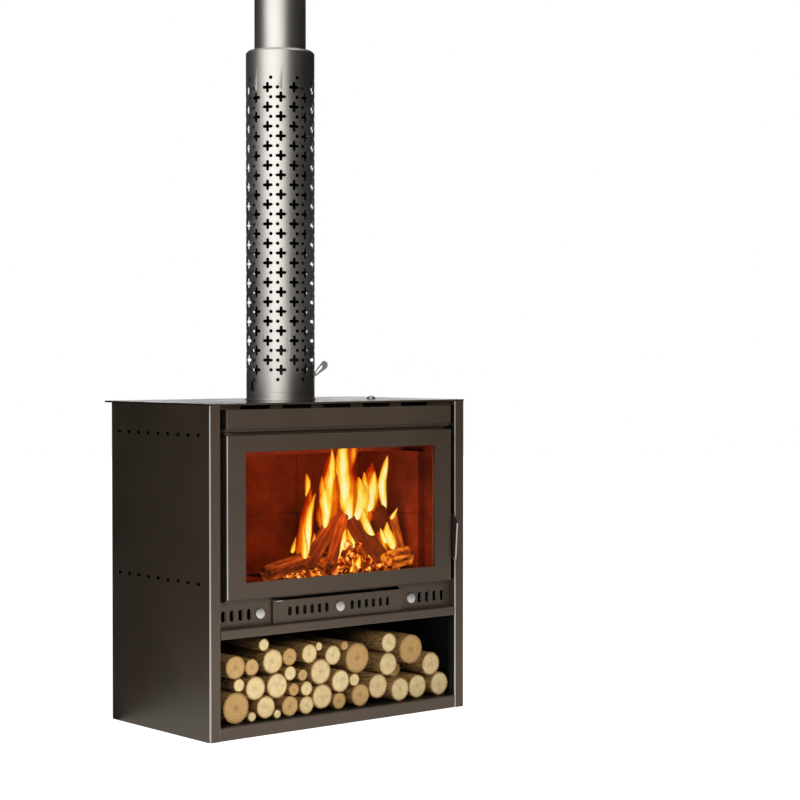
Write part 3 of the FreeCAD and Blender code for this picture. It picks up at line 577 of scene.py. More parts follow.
def grained_metal(name, colour, roughness, metallic, scale, stretch=1.0):
    """A coat or a rolled metal with fine grain in its colour, gloss and surface."""
    tree, shader = new_material(name, Metallic=metallic)
    grain = placed_group(tree, "grain", Scale=scale, Stretch=stretch)
    lay(tree, shader,
        Base_Color=varied(tree, grain["Tone"], colour, 0.14),
        Roughness=ranged(tree, grain["Tone"], roughness - UNEVEN, roughness + UNEVEN),
        Normal=bumped(tree, grain["Height"], 0.5, GRAIN_DEPTH))


def bronze_coat(name, colour, roughness, clear=0.0):
    """The stove's coat of fine metal flake, with black painted shade inside the log store and in the gap
    beside the door.
    """
    tree, shader = new_material(name, Metallic=0.35, Coat_Weight=clear, Coat_Roughness=0.12)
    grain = placed_group(tree, "grain", Scale=1400.0)
    x, y, z = axes_of(tree)
    # Black painted shade, with a rougher gloss, where the log store and the gap beside the door lie in shadow
    store = inside(tree, (x, y, z), SHADED_STORE_LOW, SHADED_STORE_HIGH)
    gap = inside(tree, (math_of(tree, "ABSOLUTE", x), y, z), SHADED_GAP_LOW, SHADED_GAP_HIGH)
    painted_shade = math_of(tree, "MAXIMUM", store, gap)
    uneven = ranged(tree, grain["Tone"], roughness - UNEVEN, roughness + UNEVEN)
    lay(tree, shader,
        Base_Color=mixed(tree, painted_shade, varied(tree, grain["Tone"], colour, 0.14), (0.004, 0.0035, 0.003)),
        Roughness=plus(tree, uneven, times(tree, painted_shade, 0.4)),
        Normal=bumped(tree, grain["Height"], 0.5, GRAIN_DEPTH))


def inside(tree, place, low, high):
    """One within a box of the part's frame and on its faces, else zero."""
    margin = WELD * 20
    result = 1.0
    for axis in range(3):
        above = math_of(tree, "GREATER_THAN", place[axis], low[axis] - margin)
        below = math_of(tree, "LESS_THAN", place[axis], high[axis] + margin)
        result = times(tree, result, times(tree, above, below))
    return result


def shade_painted_pipe(colour, roughness):
    """Flue pipe, with dark matt painted shade where the shield covers it."""
    tree, shader = new_material("shade_painted_pipe", Metallic=1.0)
    grain = placed_group(tree, "grain", Scale=500.0, Stretch=6.0)
    height = axes_of(tree)["Z"]
    # Painted shade: the pipe turns dark and matt below the shield's top
    shield_shade = ranged(tree, height, 1.0, 0.0, SHIELD_HIGH.z - 0.03, SHIELD_HIGH.z)
    lay(tree, shader,
        Base_Color=mixed(tree, shield_shade, varied(tree, grain["Tone"], colour, 0.1), (0.012, 0.010, 0.009)),
        Roughness=ranged(tree, shield_shade, roughness, 0.85),
        Normal=bumped(tree, grain["Height"], 0.5, GRAIN_DEPTH))


def zinc_sheet():
    """Galvanised sheet with its crystals."""
    tree, shader = new_material("zinc_sheet", Metallic=0.7)
    crystals = put(tree, "TexVoronoi", {"Vector": object_place(tree), "Scale": 110.0}).outputs["Color"]
    value = put(tree, "SeparateColor", {0: crystals}).outputs[0]
    grain = placed_group(tree, "grain", Scale=500.0)
    lay(tree, shader,
        Base_Color=mixed(tree, value, (0.34, 0.345, 0.35), (0.42, 0.425, 0.43)),
        Roughness=ranged(tree, value, 0.42, 0.50),
        Normal=bumped(tree, grain["Height"], 0.4, GRAIN_DEPTH))


def furnace_black():
    """Matt black coat inside the firebox, greyed by ash."""
    tree, shader = new_material("furnace_black", Metallic=0.2)
    ash = placed_group(tree, "soot", Scale=12.0, Cover=0.45)["Mask"]
    grain = placed_group(tree, "grain", Scale=700.0)
    lay(tree, shader,
        Base_Color=mixed(tree, ash, (0.010, 0.009, 0.009), (0.045, 0.040, 0.036)),
        Roughness=ranged(tree, ash, 0.65, 0.9),
        Normal=bumped(tree, grain["Height"], 0.6, 0.00005))


def sooted_brick(name, colour, cover):
    """Firebrick or scaled steel with a sandy face and patches of soot."""
    tree, shader = new_material(name)
    soot = placed_group(tree, "soot", Scale=6.0, Cover=cover)["Mask"]
    sand = noise(tree, 260.0, 4.0)
    bare = varied(tree, ranged(tree, sand, 0.0, 1.0, 0.3, 0.7), colour, 0.3)
    lay(tree, shader,
        Base_Color=mixed(tree, soot, bare, (0.03, 0.02, 0.016)),
        Roughness=ranged(tree, soot, 0.85, 0.97),
        Normal=bumped(tree, sand, 0.7, 0.0006))


def cast_grate():
    """Rough cast iron."""
    tree, shader = new_material("cast_grate", Metallic=0.6)
    lumps = noise(tree, 180.0, 4.0)
    lay(tree, shader,
        Base_Color=mixed(tree, lumps, (0.012, 0.011, 0.010), (0.05, 0.04, 0.035)),
        Roughness=ranged(tree, lumps, 0.6, 0.85),
        Normal=bumped(tree, lumps, 0.8, 0.0006))


def rope_seal():
    """Grey glass fibre rope with its braid."""
    tree, shader = new_material("rope_seal", Roughness=0.95)
    inputs = {"Vector": object_place(tree), "Scale": 160.0, "Distortion": 2.0}
    braid = put(tree, "TexWave", inputs, bands_direction="DIAGONAL").outputs["Fac"]
    lay(tree, shader,
        Base_Color=mixed(tree, braid, (0.035, 0.034, 0.032), (0.12, 0.115, 0.11)),
        Normal=bumped(tree, braid, 0.8, 0.001))


def stove_glass():
    """Clear heat-proof glass with a faint uneven film."""
    tree, shader = new_material("stove_glass", Transmission_Weight=1.0, IOR=1.45)
    film = noise(tree, 5.0, 4.0)
    stained = ranged(tree, film, 0.0, 1.0, 0.35, 0.7)
    lay(tree, shader,
        Base_Color=mixed(tree, stained, (1.0, 0.99, 0.97), (0.94, 0.90, 0.86)),
        Roughness=ranged(tree, film, 0.0, 0.03, 0.45, 0.8))


def cut_wood(colour):
    """Cut end of a log: growth rings round its middle, a dark pith, a dark rim and a tint of its own."""
    tree, shader = new_material("cut_wood", Roughness=0.75)
    uv = put(tree, "UVMap", uv_map="ends").outputs[0]
    middle = put(tree, "VectorMath", {0: uv}, operation="LENGTH").outputs["Value"]
    wander = noise(tree, 30.0)
    waves = plus(tree, times(tree, middle, 46.0), times(tree, wander, 16.0))
    light = ranged(tree, math_of(tree, "SINE", waves), 0.0, 1.0, -1.0, 1.0)
    tint = own_value(tree, "tint")
    pale = mixed(tree, light, shade(colour, 0.84), shade(colour, 1.10))
    brown = mixed(tree, light, (0.48, 0.265, 0.085), (0.64, 0.38, 0.14))
    stain = ranged(tree, noise(tree, 70.0, 5.0, 0.7), 0.0, 0.45, 0.45, 0.75)
    body = mixed(tree, stain, mixed(tree, tint, pale, brown), (0.30, 0.19, 0.08))
    heart = times(tree, ranged(tree, middle, 0.75, 0.0, 0.0, 0.30), ranged(tree, tint, 0.35, 1.0))
    warm = mixed(tree, heart, body, (0.27, 0.13, 0.045))
    rim = ranged(tree, plus(tree, middle, times(tree, wander, 0.12)), 0.0, 0.8, 0.86, 0.99)
    lay(tree, shader,
        Base_Color=mixed(tree, rim, warm, (0.26, 0.15, 0.06)),
        Normal=bumped(tree, noise(tree, 900.0, 2.0), 0.4, 0.0004))


def log_bark(colour):
    """Bark in long rough plates, with painted light that makes it bright at the front of the store and
    painted shade that darkens it towards the back.
    """
    tree, shader = new_material("log_bark", Roughness=0.9)
    lengthwise = stretched(tree, object_place(tree), 1.0, 0.15, 1.0)
    inputs = {"Vector": lengthwise, "Scale": 150.0}
    plates = put(tree, "TexVoronoi", inputs, feature="DISTANCE_TO_EDGE").outputs[0]
    rough = noise(tree, 190.0, 5.0, place=lengthwise)
    ridge = plus(tree, ranged(tree, plates, 0.0, 0.7, 0.0, 0.12), times(tree, rough, 0.5))
    # Painted light and shade: the bark is bright at the store's front and darkens towards its back
    depth = ranged(tree, axes_of(tree)["Y"], 1.0, 0.2, FRONT + 0.03, FRONT + 0.2)
    lay(tree, shader,
        Base_Color=mixed(tree, times(tree, ridge, depth), shade(colour, 0.02), shade(colour, 1.8)),
        Normal=bumped(tree, ridge, 0.9, 0.002))


def burning_wood():
    """Split log that chars and glows in streaks along its grain."""
    tree, shader = new_material("burning_wood", Roughness=0.95, Emission_Strength=1.0)
    grain = put(tree, "Attribute", attribute_name="grain").outputs["Vector"]
    streaks = noise(tree, 70.0, 5.0, 0.65, stretched(tree, grain, 1.0, 1.0, 0.10))
    patches = noise(tree, 14.0, place=grain)
    streaked = ranged(tree, streaks, 0.04, 0.78, 0.32, 0.68)
    mottled = plus(tree, streaked, ranged(tree, patches, -0.25, 0.25, 0.3, 0.7))
    heat = times(tree, mottled, own_value(tree, "glow"))
    lay(tree, shader,
        Base_Color=mixed(tree, streaks, (0.006, 0.004, 0.003), (0.065, 0.034, 0.016)),
        Emission_Color=ramp(tree, heat, (0.0, (0.010, 0.002, 0.001)), (0.30, (0.11, 0.018, 0.003)),
                            (0.62, (0.52, 0.085, 0.006)), (1.0, (1.0, 0.30, 0.025))),
        Normal=bumped(tree, streaks, 0.9, 0.004))


def live_ember():
    """Ember with an ashy crust over its glow."""
    tree, shader = new_material("live_ember", Roughness=1.0, Emission_Strength=1.3)
    crust = noise(tree, 55.0, 4.0)
    heat = ranged(tree, crust, 0.0, 1.0, 0.40, 0.68)
    lay(tree, shader,
        Base_Color=mixed(tree, crust, (0.008, 0.006, 0.004), (0.09, 0.05, 0.03)),
        Emission_Color=ramp(tree, heat, (0.0, (0.012, 0.001, 0.0)), (0.35, (0.20, 0.022, 0.002)),
                            (0.7, (0.85, 0.22, 0.012)), (1.0, (1.0, 0.72, 0.20))))


def flame(strength):
    """Flame that is white in the middle, and yellow to red at its rim and tip."""
    tree, shader = new_material("flame", Base_Color=(0, 0, 0, 1), Roughness=1.0, Specular_IOR_Level=0.0,
                                Emission_Strength=strength)
    upright = stretched(tree, object_place(tree), 1.0, 1.0, 0.22)
    flicker = ranged(tree, noise(tree, 60.0, 4.0, place=upright), -0.38, 0.38, 0.3, 0.7)
    edge = plus(tree, math_of(tree, "POWER", own_value(tree, "rim"), 1.7), flicker)
    tip = math_of(tree, "POWER", own_value(tree, "reach"), 2.0)
    fade = plus(tree, times(tree, tip, 0.42), own_value(tree, "cool"))
    heat = plus(tree, times(tree, edge, 0.62), fade)
    lay(tree, shader,
        Emission_Color=ramp(tree, heat, (0.0, (1.0, 0.93, 0.54)), (0.18, (1.0, 0.84, 0.15)),
                            (0.38, (1.0, 0.58, 0.025)), (0.62, (0.88, 0.17, 0.004)),
                            (1.0, (0.40, 0.015, 0.0))),
        Alpha=ranged(tree, edge, 1.0, 0.0, 0.40, 0.98))


def make_finishes():
    """Build every finish once."""
    finishes = bpy.context.scene.stove_finishes
    fire = bpy.context.scene.stove_fire
    grain_group()
    soot_group()
    bronze_coat("bronze_coat", finishes.coat_colour, finishes.coat_roughness)
    bronze_coat("plate_coat", finishes.coat_colour, finishes.coat_roughness * 0.36, clear=0.15)
    for name, colour, roughness, metallic, scale in (
            # Light metal on some folds, a painted highlight
            ("painted_highlight_fold", (0.42, 0.38, 0.34), 0.30, 0.85, 1400.0),
            ("knob_metal", finishes.knob_colour, 0.38, 0.9, 1600.0),
            ("plated_steel", (0.40, 0.385, 0.36), 0.36, 0.9, 900.0),
            ("satin_steel", (0.47, 0.465, 0.45), 0.45, 0.3, 900.0),
            ("handle_black", (0.020, 0.017, 0.015), 0.50, 0.2, 1400.0),
            # Pale finish for the lever's front faces, a painted highlight
            ("handle_painted_highlight", (0.62, 0.58, 0.56), 0.45, 0.3, 900.0)):
        grained_metal(name, colour, roughness, metallic, scale)
    grained_metal("flue_metal", finishes.flue_colour, finishes.flue_roughness, 1.0, 500.0, stretch=6.0)
    shade_painted_pipe(finishes.flue_colour, finishes.flue_roughness)
    zinc_sheet()
    furnace_black()
    sooted_brick("sooted_brick", finishes.brick_colour, 0.45)
    sooted_brick("scaled_steel", shade(finishes.brick_colour, 0.8), 0.5)
    cast_grate()
    rope_seal()
    stove_glass()
    cut_wood(fire.wood_colour)
    log_bark(fire.bark_colour)
    burning_wood()
    live_ember()
    flame(fire.flame_glow)


# Pieces


class STOVE_OT_finishes(bpy.types.Operator):
    """Build the finishes and put one on every CAD node"""

    bl_idname = "stove.finishes"
    bl_label = "Finishes"

    def execute(self, context):
        make_finishes()
        for name, node in frame["nodes"].items():
            wear(node, FINISH_OF_NODE.get(name) or FINISH_OF_SLOT[slot_of(name)])
        return {"FINISHED"}


class STOVE_OT_folded_sheets(bpy.types.Operator):
    """Round the folds and edges of the cabinet's and door's sheets"""

    bl_idname = "stove.folded_sheets"
    bl_label = "Folded Sheets"

    def execute(self, context):
        upright, level = ("left", "right"), ("bottom", "top")
        # The last column lists the folds that carry a painted highlight in light metal
        for node, sides, highlighted_sides in (
                ("left_side_panel", upright, ("left",)),
                ("right_side_panel", upright, upright),
                ("door_frame", upright + level, upright),
                ("upper_fascia", upright + level, ()),
                ("ash_drawer_front", upright + level, ()),
                ("base_plate", level, ()),
                ("log_shelf", level, ())):
            dress(folded(node, sides, highlighted_sides), node)
        for node, finish in (("top_plate", "plate_coat"), ("drawer_pull_tab", "knob_metal"),
                             ("damper_handle", "satin_steel")):
            dress(broken_edges(copy_of(node, node + "_edged")), node, finish)
        lever = broken_edges(copy_of("handle_lever", "handle_lever_edged"))
        dress(lever, "handle_lever", "handle_black")
        # The lever is black, and its front faces take a pale finish, a painted highlight along its front edge
        lever.data.materials.append(bpy.data.materials["handle_painted_highlight"])
        for face in lever.data.polygons:
            face.material_index = int(face.normal.y < -FACING)
        return {"FINISHED"}


class STOVE_OT_trim(bpy.types.Operator):
    """Add the strip over the door and the stud on the top plate"""

    bl_idname = "stove.trim"
    bl_label = "Trim"

    def execute(self, context):
        trimmed(door_head_strip(), "bronze_coat")
        trimmed(top_stud(), "knob_metal")
        return {"FINISHED"}


def trimmed(piece, finish, body="cabinet"):
    """A small piece on a body, in its finish."""
    wear(piece, finish)
    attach(piece, body)


def door_head_strip():
    """A thin angle under the fascia, with its flange on the front frame."""
    depth, gauge, gap = 0.021, 0.002, 0.001
    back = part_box("front_frame")[0].y
    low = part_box("hinge_pivots")[1].z + gap
    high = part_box("upper_fascia")[0].z - CLEAR
    half = PANEL_LOW.x - gap
    bpy.ops.mesh.primitive_cube_add(size=1, location=(0, back - depth / 2, high - gauge / 2))
    strip = bpy.context.object
    strip.name = "door_head_strip"
    strip.scale = (half * 2, depth, gauge)
    settle(strip)
    edit(strip)
    lip = back - depth + gauge
    cut_across((0, 1, 0), [lip])
    choose_faces(strip, lambda face: face.normal.z < -FACING and face.center.y < lip)
    bpy.ops.mesh.extrude_region_move(TRANSFORM_OT_translate={"value": (0, 0, low - high + gauge)})
    close()
    return broken_edges(strip)


def top_stud():
    """A low dome on a washer, on the top plate."""
    radius, flatness = 0.0125, 0.55
    washer, rim = 0.0012, 1.2
    place = (0.31, 0.005, CABINET_TOP + washer)
    bpy.ops.mesh.primitive_uv_sphere_add(segments=32, ring_count=16, radius=radius, location=place)
    stud = bpy.context.object
    stud.name = "top_stud"
    stud.scale = (1, 1, flatness)
    settle(stud)
    edit(stud)
    bpy.ops.mesh.bisect(plane_co=place, plane_no=(0, 0, 1), clear_inner=True, use_fill=True)
    choose_faces(stud, lambda face: face.normal.z < -FACING)
    bpy.ops.mesh.extrude_region_move()
    bpy.ops.transform.resize(value=(rim, rim, 1), center_override=place)
    bpy.ops.mesh.extrude_region_move(TRANSFORM_OT_translate={"value": (0, 0, -washer)})
    close()
    outward(stud)
    smooth(stud, 40)
    return stud


class STOVE_OT_screws(bpy.types.Operator):
    """Set the screws of the rear sheets and of the frame behind the glass"""

    bl_idname = "stove.screws"
    bl_label = "Screws"

    def execute(self, context):
        screw = screw_head()
        low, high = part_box("rear_heat_shield")
        edge = 0.03
        places = [(x, high.y, z) for x in (-0.40, 0.0, 0.40) for z in (low.z + edge, high.z - edge)]
        flange = PANEL_HIGH.x - 0.015
        places += [(x, PANEL_HIGH.y, z) for x in (-flange, flange) for z in (0.06, 0.33, 0.60, 0.87)]
        trimmed(screwed(screw, places, "rear_screws"), "plated_steel")
        low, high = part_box("glass_retainer")
        edge = 0.011
        places = [(x, high.y, z) for x in (-0.22, 0.0, 0.22) for z in (low.z + edge, high.z - edge)]
        places += [(x, high.y, (low.z + high.z) / 2) for x in (low.x + edge, high.x - edge)]
        trimmed(screwed(screw, places, "glass_screws"), "plated_steel", "door")
        bpy.data.objects.remove(screw)
        return {"FINISHED"}


def screw_head():
    """A button head with a round socket, facing the back."""
    radius, rise = 0.0048, 0.0026
    bpy.ops.mesh.primitive_cylinder_add(vertices=24, radius=radius, depth=rise, location=(0, rise / 2, 0),
                                        rotation=(math.pi / 2, 0, 0))
    screw = bpy.context.object
    settle(screw)
    edit(screw)
    choose_edges(screw, lambda ends: all(abs(end.y - rise) < WELD for end in ends))
    bpy.ops.mesh.bevel(offset=rise * 0.75, segments=4, affect="EDGES")
    choose_faces(screw, lambda face: face.normal.y > FLAT and abs(face.center.y - rise) < WELD)
    bpy.ops.mesh.inset(thickness=radius * 0.12)
    bpy.ops.mesh.extrude_region_move(TRANSFORM_OT_translate={"value": (0, -rise * 0.7, 0)})
    close()
    smooth(screw, 35)
    return screw


def screwed(screw, places, name):
    """Copies of a screw at several places, as one piece."""
    return joined([copied(screw, name, place) for place in places], name)


class STOVE_OT_seals(bpy.types.Operator):
    """Lay the rope seal of the door and the tape round its glass"""

    bl_idname = "stove.seals"
    bl_label = "Seals"

    def execute(self, context):
        dress(rope_ring("door_seal"), "door_seal", "rope_seal")
        tape = copy_of("glass_gasket", "glass_gasket_tape")
        bevelled(tape, 0.0009, 3)
        smooth(tape, 60)
        dress(tape, "glass_gasket", "rope_seal")
        return {"FINISHED"}


def rope_ring(node):
    """A round rope along the middle of a rectangular seal, with rounded corners."""
    low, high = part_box(node)
    middle = (low + high) / 2
    radius = (high.y - low.y) / 2
    bpy.ops.mesh.primitive_plane_add(size=1, location=middle, rotation=(math.pi / 2, 0, 0))
    ring = bpy.context.object
    ring.name = node + "_rope"
    ring.scale = (high.x - low.x - radius * 2, high.z - low.z - radius * 2, 1)
    settle(ring)
    edit(ring)
    bpy.ops.mesh.delete(type="ONLY_FACE")
    bpy.ops.mesh.select_all(action="SELECT")
    bpy.ops.mesh.bevel(offset=radius * 3, segments=6, affect="VERTICES")
    close()
    bpy.ops.object.convert(target="CURVE")
    ring = bpy.context.object
    ring.data.bevel_depth = radius * 0.98
    ring.data.bevel_resolution = 4
    bpy.ops.object.convert(target="MESH")
    ring = bpy.context.object
    outward(ring)
    smooth(ring, 60)
    return ring


class STOVE_OT_air_knobs(bpy.types.Operator):
    """Turn the three air knobs with their rounded rims"""

    bl_idname = "stove.air_knobs"
    bl_label = "Air Knobs"

    def execute(self, context):
        first = "left_air_knob"
        knob = air_knob(first)
        for node in ("right_air_knob", "drawer_air_knob"):
            dress(copied(knob, node + "_turned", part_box(node)[0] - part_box(first)[0]), node, "knob_metal")
        dress(knob, first, "knob_metal")
        return {"FINISHED"}


def air_knob(node):
    """A slightly domed disc with a rounded front rim, on the stem of its CAD node."""
    low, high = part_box(node)
    middle = (low + high) / 2
    radius = (high.x - low.x) / 2
    thickness, dome, rim = 0.0063, 0.0007, 0.0024
    foot = low.y + thickness
    front = low.y + dome
    bpy.ops.mesh.primitive_cylinder_add(vertices=64, radius=radius, depth=foot - front,
                                        location=(middle.x, (front + foot) / 2, middle.z),
                                        rotation=(math.pi / 2, 0, 0))
    knob = bpy.context.object
    knob.name = node + "_turned"
    settle(knob)
    edit(knob)
    choose_faces(knob, lambda face: face.normal.y > FACING)
    bpy.ops.mesh.inset(thickness=radius * 0.8)
    bpy.ops.mesh.extrude_region_move(TRANSFORM_OT_translate={"value": (0, high.y - foot, 0)})
    choose_edges(knob, lambda ends: all(abs(end.y - front) < WELD for end in ends))
    bpy.ops.mesh.bevel(offset=rim, segments=5, affect="EDGES")
    choose_faces(knob, lambda face: face.normal.y < -FLAT and abs(face.center.y - front) < WELD)
    steps = 3
    for _ in range(steps):
        bpy.ops.mesh.inset(thickness=radius * 0.22)
        bpy.ops.transform.translate(value=(0, -dome / steps, 0))
    close()
    smooth(knob, 40)
    return knob


class STOVE_OT_end_rings(bpy.types.Operator):
    """Finish the foot ring and the cap of the flue shield"""

    bl_idname = "stove.end_rings"
    bl_label = "End Rings"

    def execute(self, context):
        rings = copy_of("shield_end_rings", "shield_end_rings_edged")
        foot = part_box("shield_end_rings")[0].z
        groove_low, groove_high, waist = foot + 0.0035, foot + 0.008, 0.975
        edit(rings)
        cut_across((0, 0, 1), (groove_low, groove_high))
        choose_faces(rings, lambda face: outer_wall(face) and groove_low < face.center.z < groove_high)
        bpy.ops.mesh.extrude_region_move()
        bpy.ops.transform.resize(value=(waist, waist, 1), center_override=(0, AXIS_Y, groove_low))
        choose_edges(rings, lambda ends: all(abs(end.z - SHIELD_LOW.z) < WELD for end in ends))
        bpy.ops.mesh.bevel(offset=0.0016, segments=3, affect="EDGES", clamp_overlap=True)
        close()
        dress(broken_edges(rings), "shield_end_rings", "flue_metal")
        return {"FINISHED"}


def outer_wall(face):
    """Whether a face of the end rings looks away from the flue's axis."""
    away = Vector((face.center.x, face.center.y - AXIS_Y, 0))
    return away.length > SHIELD_RADIUS and face.normal.dot(away.normalized()) > FACING


class STOVE_OT_flue_shield(bpy.types.Operator):
    """Roll the flue shield from a perforated sheet"""

    bl_idname = "stove.flue_shield"
    bl_label = "Flue Shield"

    def execute(self, context):
        pattern = context.scene.stove_shield
        strips = [shield_strip(pattern, index) for index in range(pattern.pairs)]
        shield = joined(strips, "flue_shield_perforated")
        outward(shield)
        apply_modifier(shield, "SOLIDIFY", thickness=pattern.thickness, offset=-1)
        smooth(shield, 40)
        dress(shield, "flue_shield", "flue_metal")
        return {"FINISHED"}


def shield_strip(pattern, index):
    """One pair of staggered columns, cut from a flat strip and rolled round the flue."""
    width = math.tau * SHIELD_RADIUS / pattern.pairs
    left, middle = -width / 4, width / 4
    turn = pattern.turn + math.tau * index / pattern.pairs
    outlines = [rectangle(left, 0, left + width, SHIELD_HIGH.z - SHIELD_LOW.z)]
    outlines += perforation(pattern, width)
    if faces_sideways(turn + middle / SHIELD_RADIUS):
        outlines.append(spindle_slot(middle))
    strip = flat_sheet("shield_strip", outlines)
    edit(strip)
    steps = 12
    cut_across((1, 0, 0), [left + width * step / steps for step in range(1, steps)])
    close()
    for vertex in strip.data.vertices:
        angle = turn + vertex.co.x / SHIELD_RADIUS
        x, y = SHIELD_RADIUS * math.sin(angle), AXIS_Y - SHIELD_RADIUS * math.cos(angle)
        vertex.co = (x, y, SHIELD_LOW.z + vertex.co.y)
    return strip


def perforation(pattern, width):
    """Outlines of the crosses and round holes of a pair of columns."""
    outlines = []
    for row in range(-1, pattern.rows + 1):
        level = pattern.first_row + row * pattern.pitch
        between = level - pattern.pitch / 2
        if 0 <= row < pattern.rows:
            outlines.append(cross(pattern, 0, level))
            outlines.append(cross(pattern, width / 2, between))
        if row < pattern.rows:
            outlines.append(circle(pattern.dot / 2, width / 2 - pattern.dot_offset, level))
        if row >= 0:
            outlines.append(circle(pattern.dot / 2, pattern.dot_offset, between))
    return outlines


def faces_sideways(angle):
    """Whether a place on the shield, by its angle from the front, is at the left or the right."""
    return abs(math.cos(angle)) < 0.1


def spindle_slot(middle):
    """The slot that the damper's spindle passes through."""
    low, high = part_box("damper_spindle")
    level = (low.z + high.z) / 2 - SHIELD_LOW.z
    half_width, half_height = 0.007, 0.015
    return rectangle(middle - half_width, level - half_height, middle + half_width, level + half_height)


def rectangle(left, bottom, right, top):
    """Corners of a rectangle."""
    return [(left, bottom), (right, bottom), (right, top), (left, top)]


def circle(radius, x, y, corners=12):
    """Corners of a round hole."""
    steps = [math.tau * step / corners for step in range(corners)]
    return [(x + radius * math.cos(angle), y + radius * math.sin(angle)) for angle in steps]


def cross(pattern, x, y):
    """Outline of a cross with round ends."""
    half = pattern.cross_arm / 2
    reach = pattern.cross_span / 2 - half
    round_end = [math.pi / 4 * step for step in range(-2, 3)]
    arm = [(reach + half * math.cos(angle), half * math.sin(angle)) for angle in round_end]
    outline = []
    for quarter in range(4):
        cos, sin = math.cos(math.pi / 2 * quarter), math.sin(math.pi / 2 * quarter)
        outline += [(x + u * cos - v * sin, y + u * sin + v * cos) for u, v in [*arm, (half, half)]]
    return outline


def flat_sheet(name, outlines):
    """A flat sheet: the first outline less the others."""
    curve = bpy.data.curves.new(name, "CURVE")
    curve.dimensions = "2D"
    curve.fill_mode = "BOTH"
    for outline in outlines:
        spline = curve.splines.new("POLY")
        spline.points.add(len(outline) - 1)
        for point, (x, y) in zip(spline.points, outline):
            point.co = (x, y, 0, 1)
        spline.use_cyclic_u = True
    sheet = bpy.data.objects.new(name, curve)
    bpy.context.scene.collection.objects.link(sheet)
    select_only(sheet)
    bpy.ops.object.convert(target="MESH")
    return bpy.context.object


class STOVE_OT_firewood(bpy.types.Operator):
    """Stack round logs in the store"""

    bl_idname = "stove.firewood"
    bl_label = "Firewood"

    # Across from the middle, height and radius of each log in millimetres, and how far it is set back
    pale_logs = (
        (-304, 51, 14), (-219, 52, 13), (-112, 62, 26), (-258, 67, 32), (391, 67, 35), (155, 72, 36),
        (-52, 73, 36), (232, 73, 35), (308, 74, 35), (-115, 112, 21), (64, 118, 19), (-218, 119, 36),
        (189, 128, 34), (358, 129, 35), (11, 133, 33), (-293, 134, 34), (-350, 148, 19), (-63, 149, 37),
        (-169, 156, 21), (-232, 194, 35), (-11, 197, 29), (190, 198, 29), (-99, 199, 28), (-61, 215, 13),
        (-256, 251, 18),
    )
    brown_logs = (
        (-169, 64, 29), (88, 69, 33), (11, 75, 24), (-355, 82, 44), (-161, 111, 18), (271, 118, 24, 70),
        (-121, 156, 17), (74, 184, 44), (275, 189, 44), (-299, 194, 24), (-363, 196, 33), (-168, 203, 25),
        (23, 216, 13),
    )
    pale_tint, brown_tint = 0.12, 0.9

    def execute(self, context):
        random.seed(SEED)
        laid = []
        kinds = [(log, self.pale_tint) for log in self.pale_logs]
        kinds += [(log, self.brown_tint) for log in self.brown_logs]
        kinds.sort(key=lambda kind: kind[0][1])
        logs = [stored_log(laid, tint, *(value / 1000 for value in log)) for log, tint in kinds]
        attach(joined(logs, "firewood"), "cabinet")
        return {"FINISHED"}


def stored_log(laid, tint, x, height, radius, set_back=0.0):
    """A log that rests in the store near a wanted height."""
    z = free_height(x, height, radius, laid)
    laid.append((x, z, radius))
    nearest, farthest, spare = 0.022, 0.036, 0.01
    front = FRONT + random.uniform(nearest, farthest) + set_back
    length = min(bpy.context.scene.stove_fire.log_length, STORE_BACK - front - spare)
    log = round_log(radius, length)
    log.location = (x, front + length / 2, z)
    log.rotation_euler = (math.pi / 2, random.uniform(0, math.tau), 0)
    settle(log)
    mark_ends(log, Vector((x, 0, z)), radius)
    paint(log, "tint", tint + random.uniform(-0.12, 0.1))
    return log


def free_height(x, height, radius, laid):
    """The height nearest to a wanted one at which a log rests on the floor or a log, clear of the rest."""
    floor = STORE_FLOOR + radius
    spans = []
    for other_x, other_z, other_radius in laid:
        reach = radius + other_radius + CLEAR
        across = x - other_x
        if abs(across) < reach:
            rise = math.sqrt(reach ** 2 - across ** 2)
            spans.append((other_z - rise, other_z + rise))
    levels = [floor] + [top for bottom, top in spans if top > floor]
    free = [z for z in levels if not any(bottom < z < top for bottom, top in spans)]
    return min(free, key=lambda z: abs(z - height))


def paint(piece, name, value):
    """Give every point of a piece the same value of an attribute."""
    layer = piece.data.attributes.new(name, "FLOAT", "POINT")
    for vertex in piece.data.vertices:
        layer.data[vertex.index].value = value


def round_log(radius, length):
    """An uneven round log along Z, with an edge of bark round its cut ends."""
    bark = bpy.context.scene.stove_fire.bark
    bpy.ops.mesh.primitive_cylinder_add(vertices=28, radius=radius, depth=length)
    log = bpy.context.object
    log.data.materials.append(bpy.data.materials["log_bark"])
    log.data.materials.append(bpy.data.materials["cut_wood"])
    edit(log)
    choose_faces(log, lambda face: abs(face.normal.z) > FACING)
    bpy.ops.mesh.inset(thickness=bark)
    log.active_material_index = 1
    bpy.ops.object.material_slot_assign()
    bpy.ops.mesh.inset(thickness=radius * 0.3)
    close()
    mean, uneven = 0.985, 0.012
    lobes = [random.uniform(0, math.tau) for _ in range(3)]
    for vertex in log.data.vertices:
        angle = math.atan2(vertex.co.y, vertex.co.x)
        swell = sum(math.sin(count * angle + lobe) / count for count, lobe in enumerate(lobes, start=2))
        vertex.co.xy *= mean + uneven * swell
    smooth(log, 50)
    return log


def mark_ends(log, middle, radius):
    """Map the cut ends round the middle of their log."""
    layer = log.data.uv_layers.active or log.data.uv_layers.new()
    layer.name = "ends"
    for loop in log.data.loops:
        place = (log.data.vertices[loop.vertex_index].co - middle) / radius
        layer.data[loop.index].uv = (place.x, place.z)


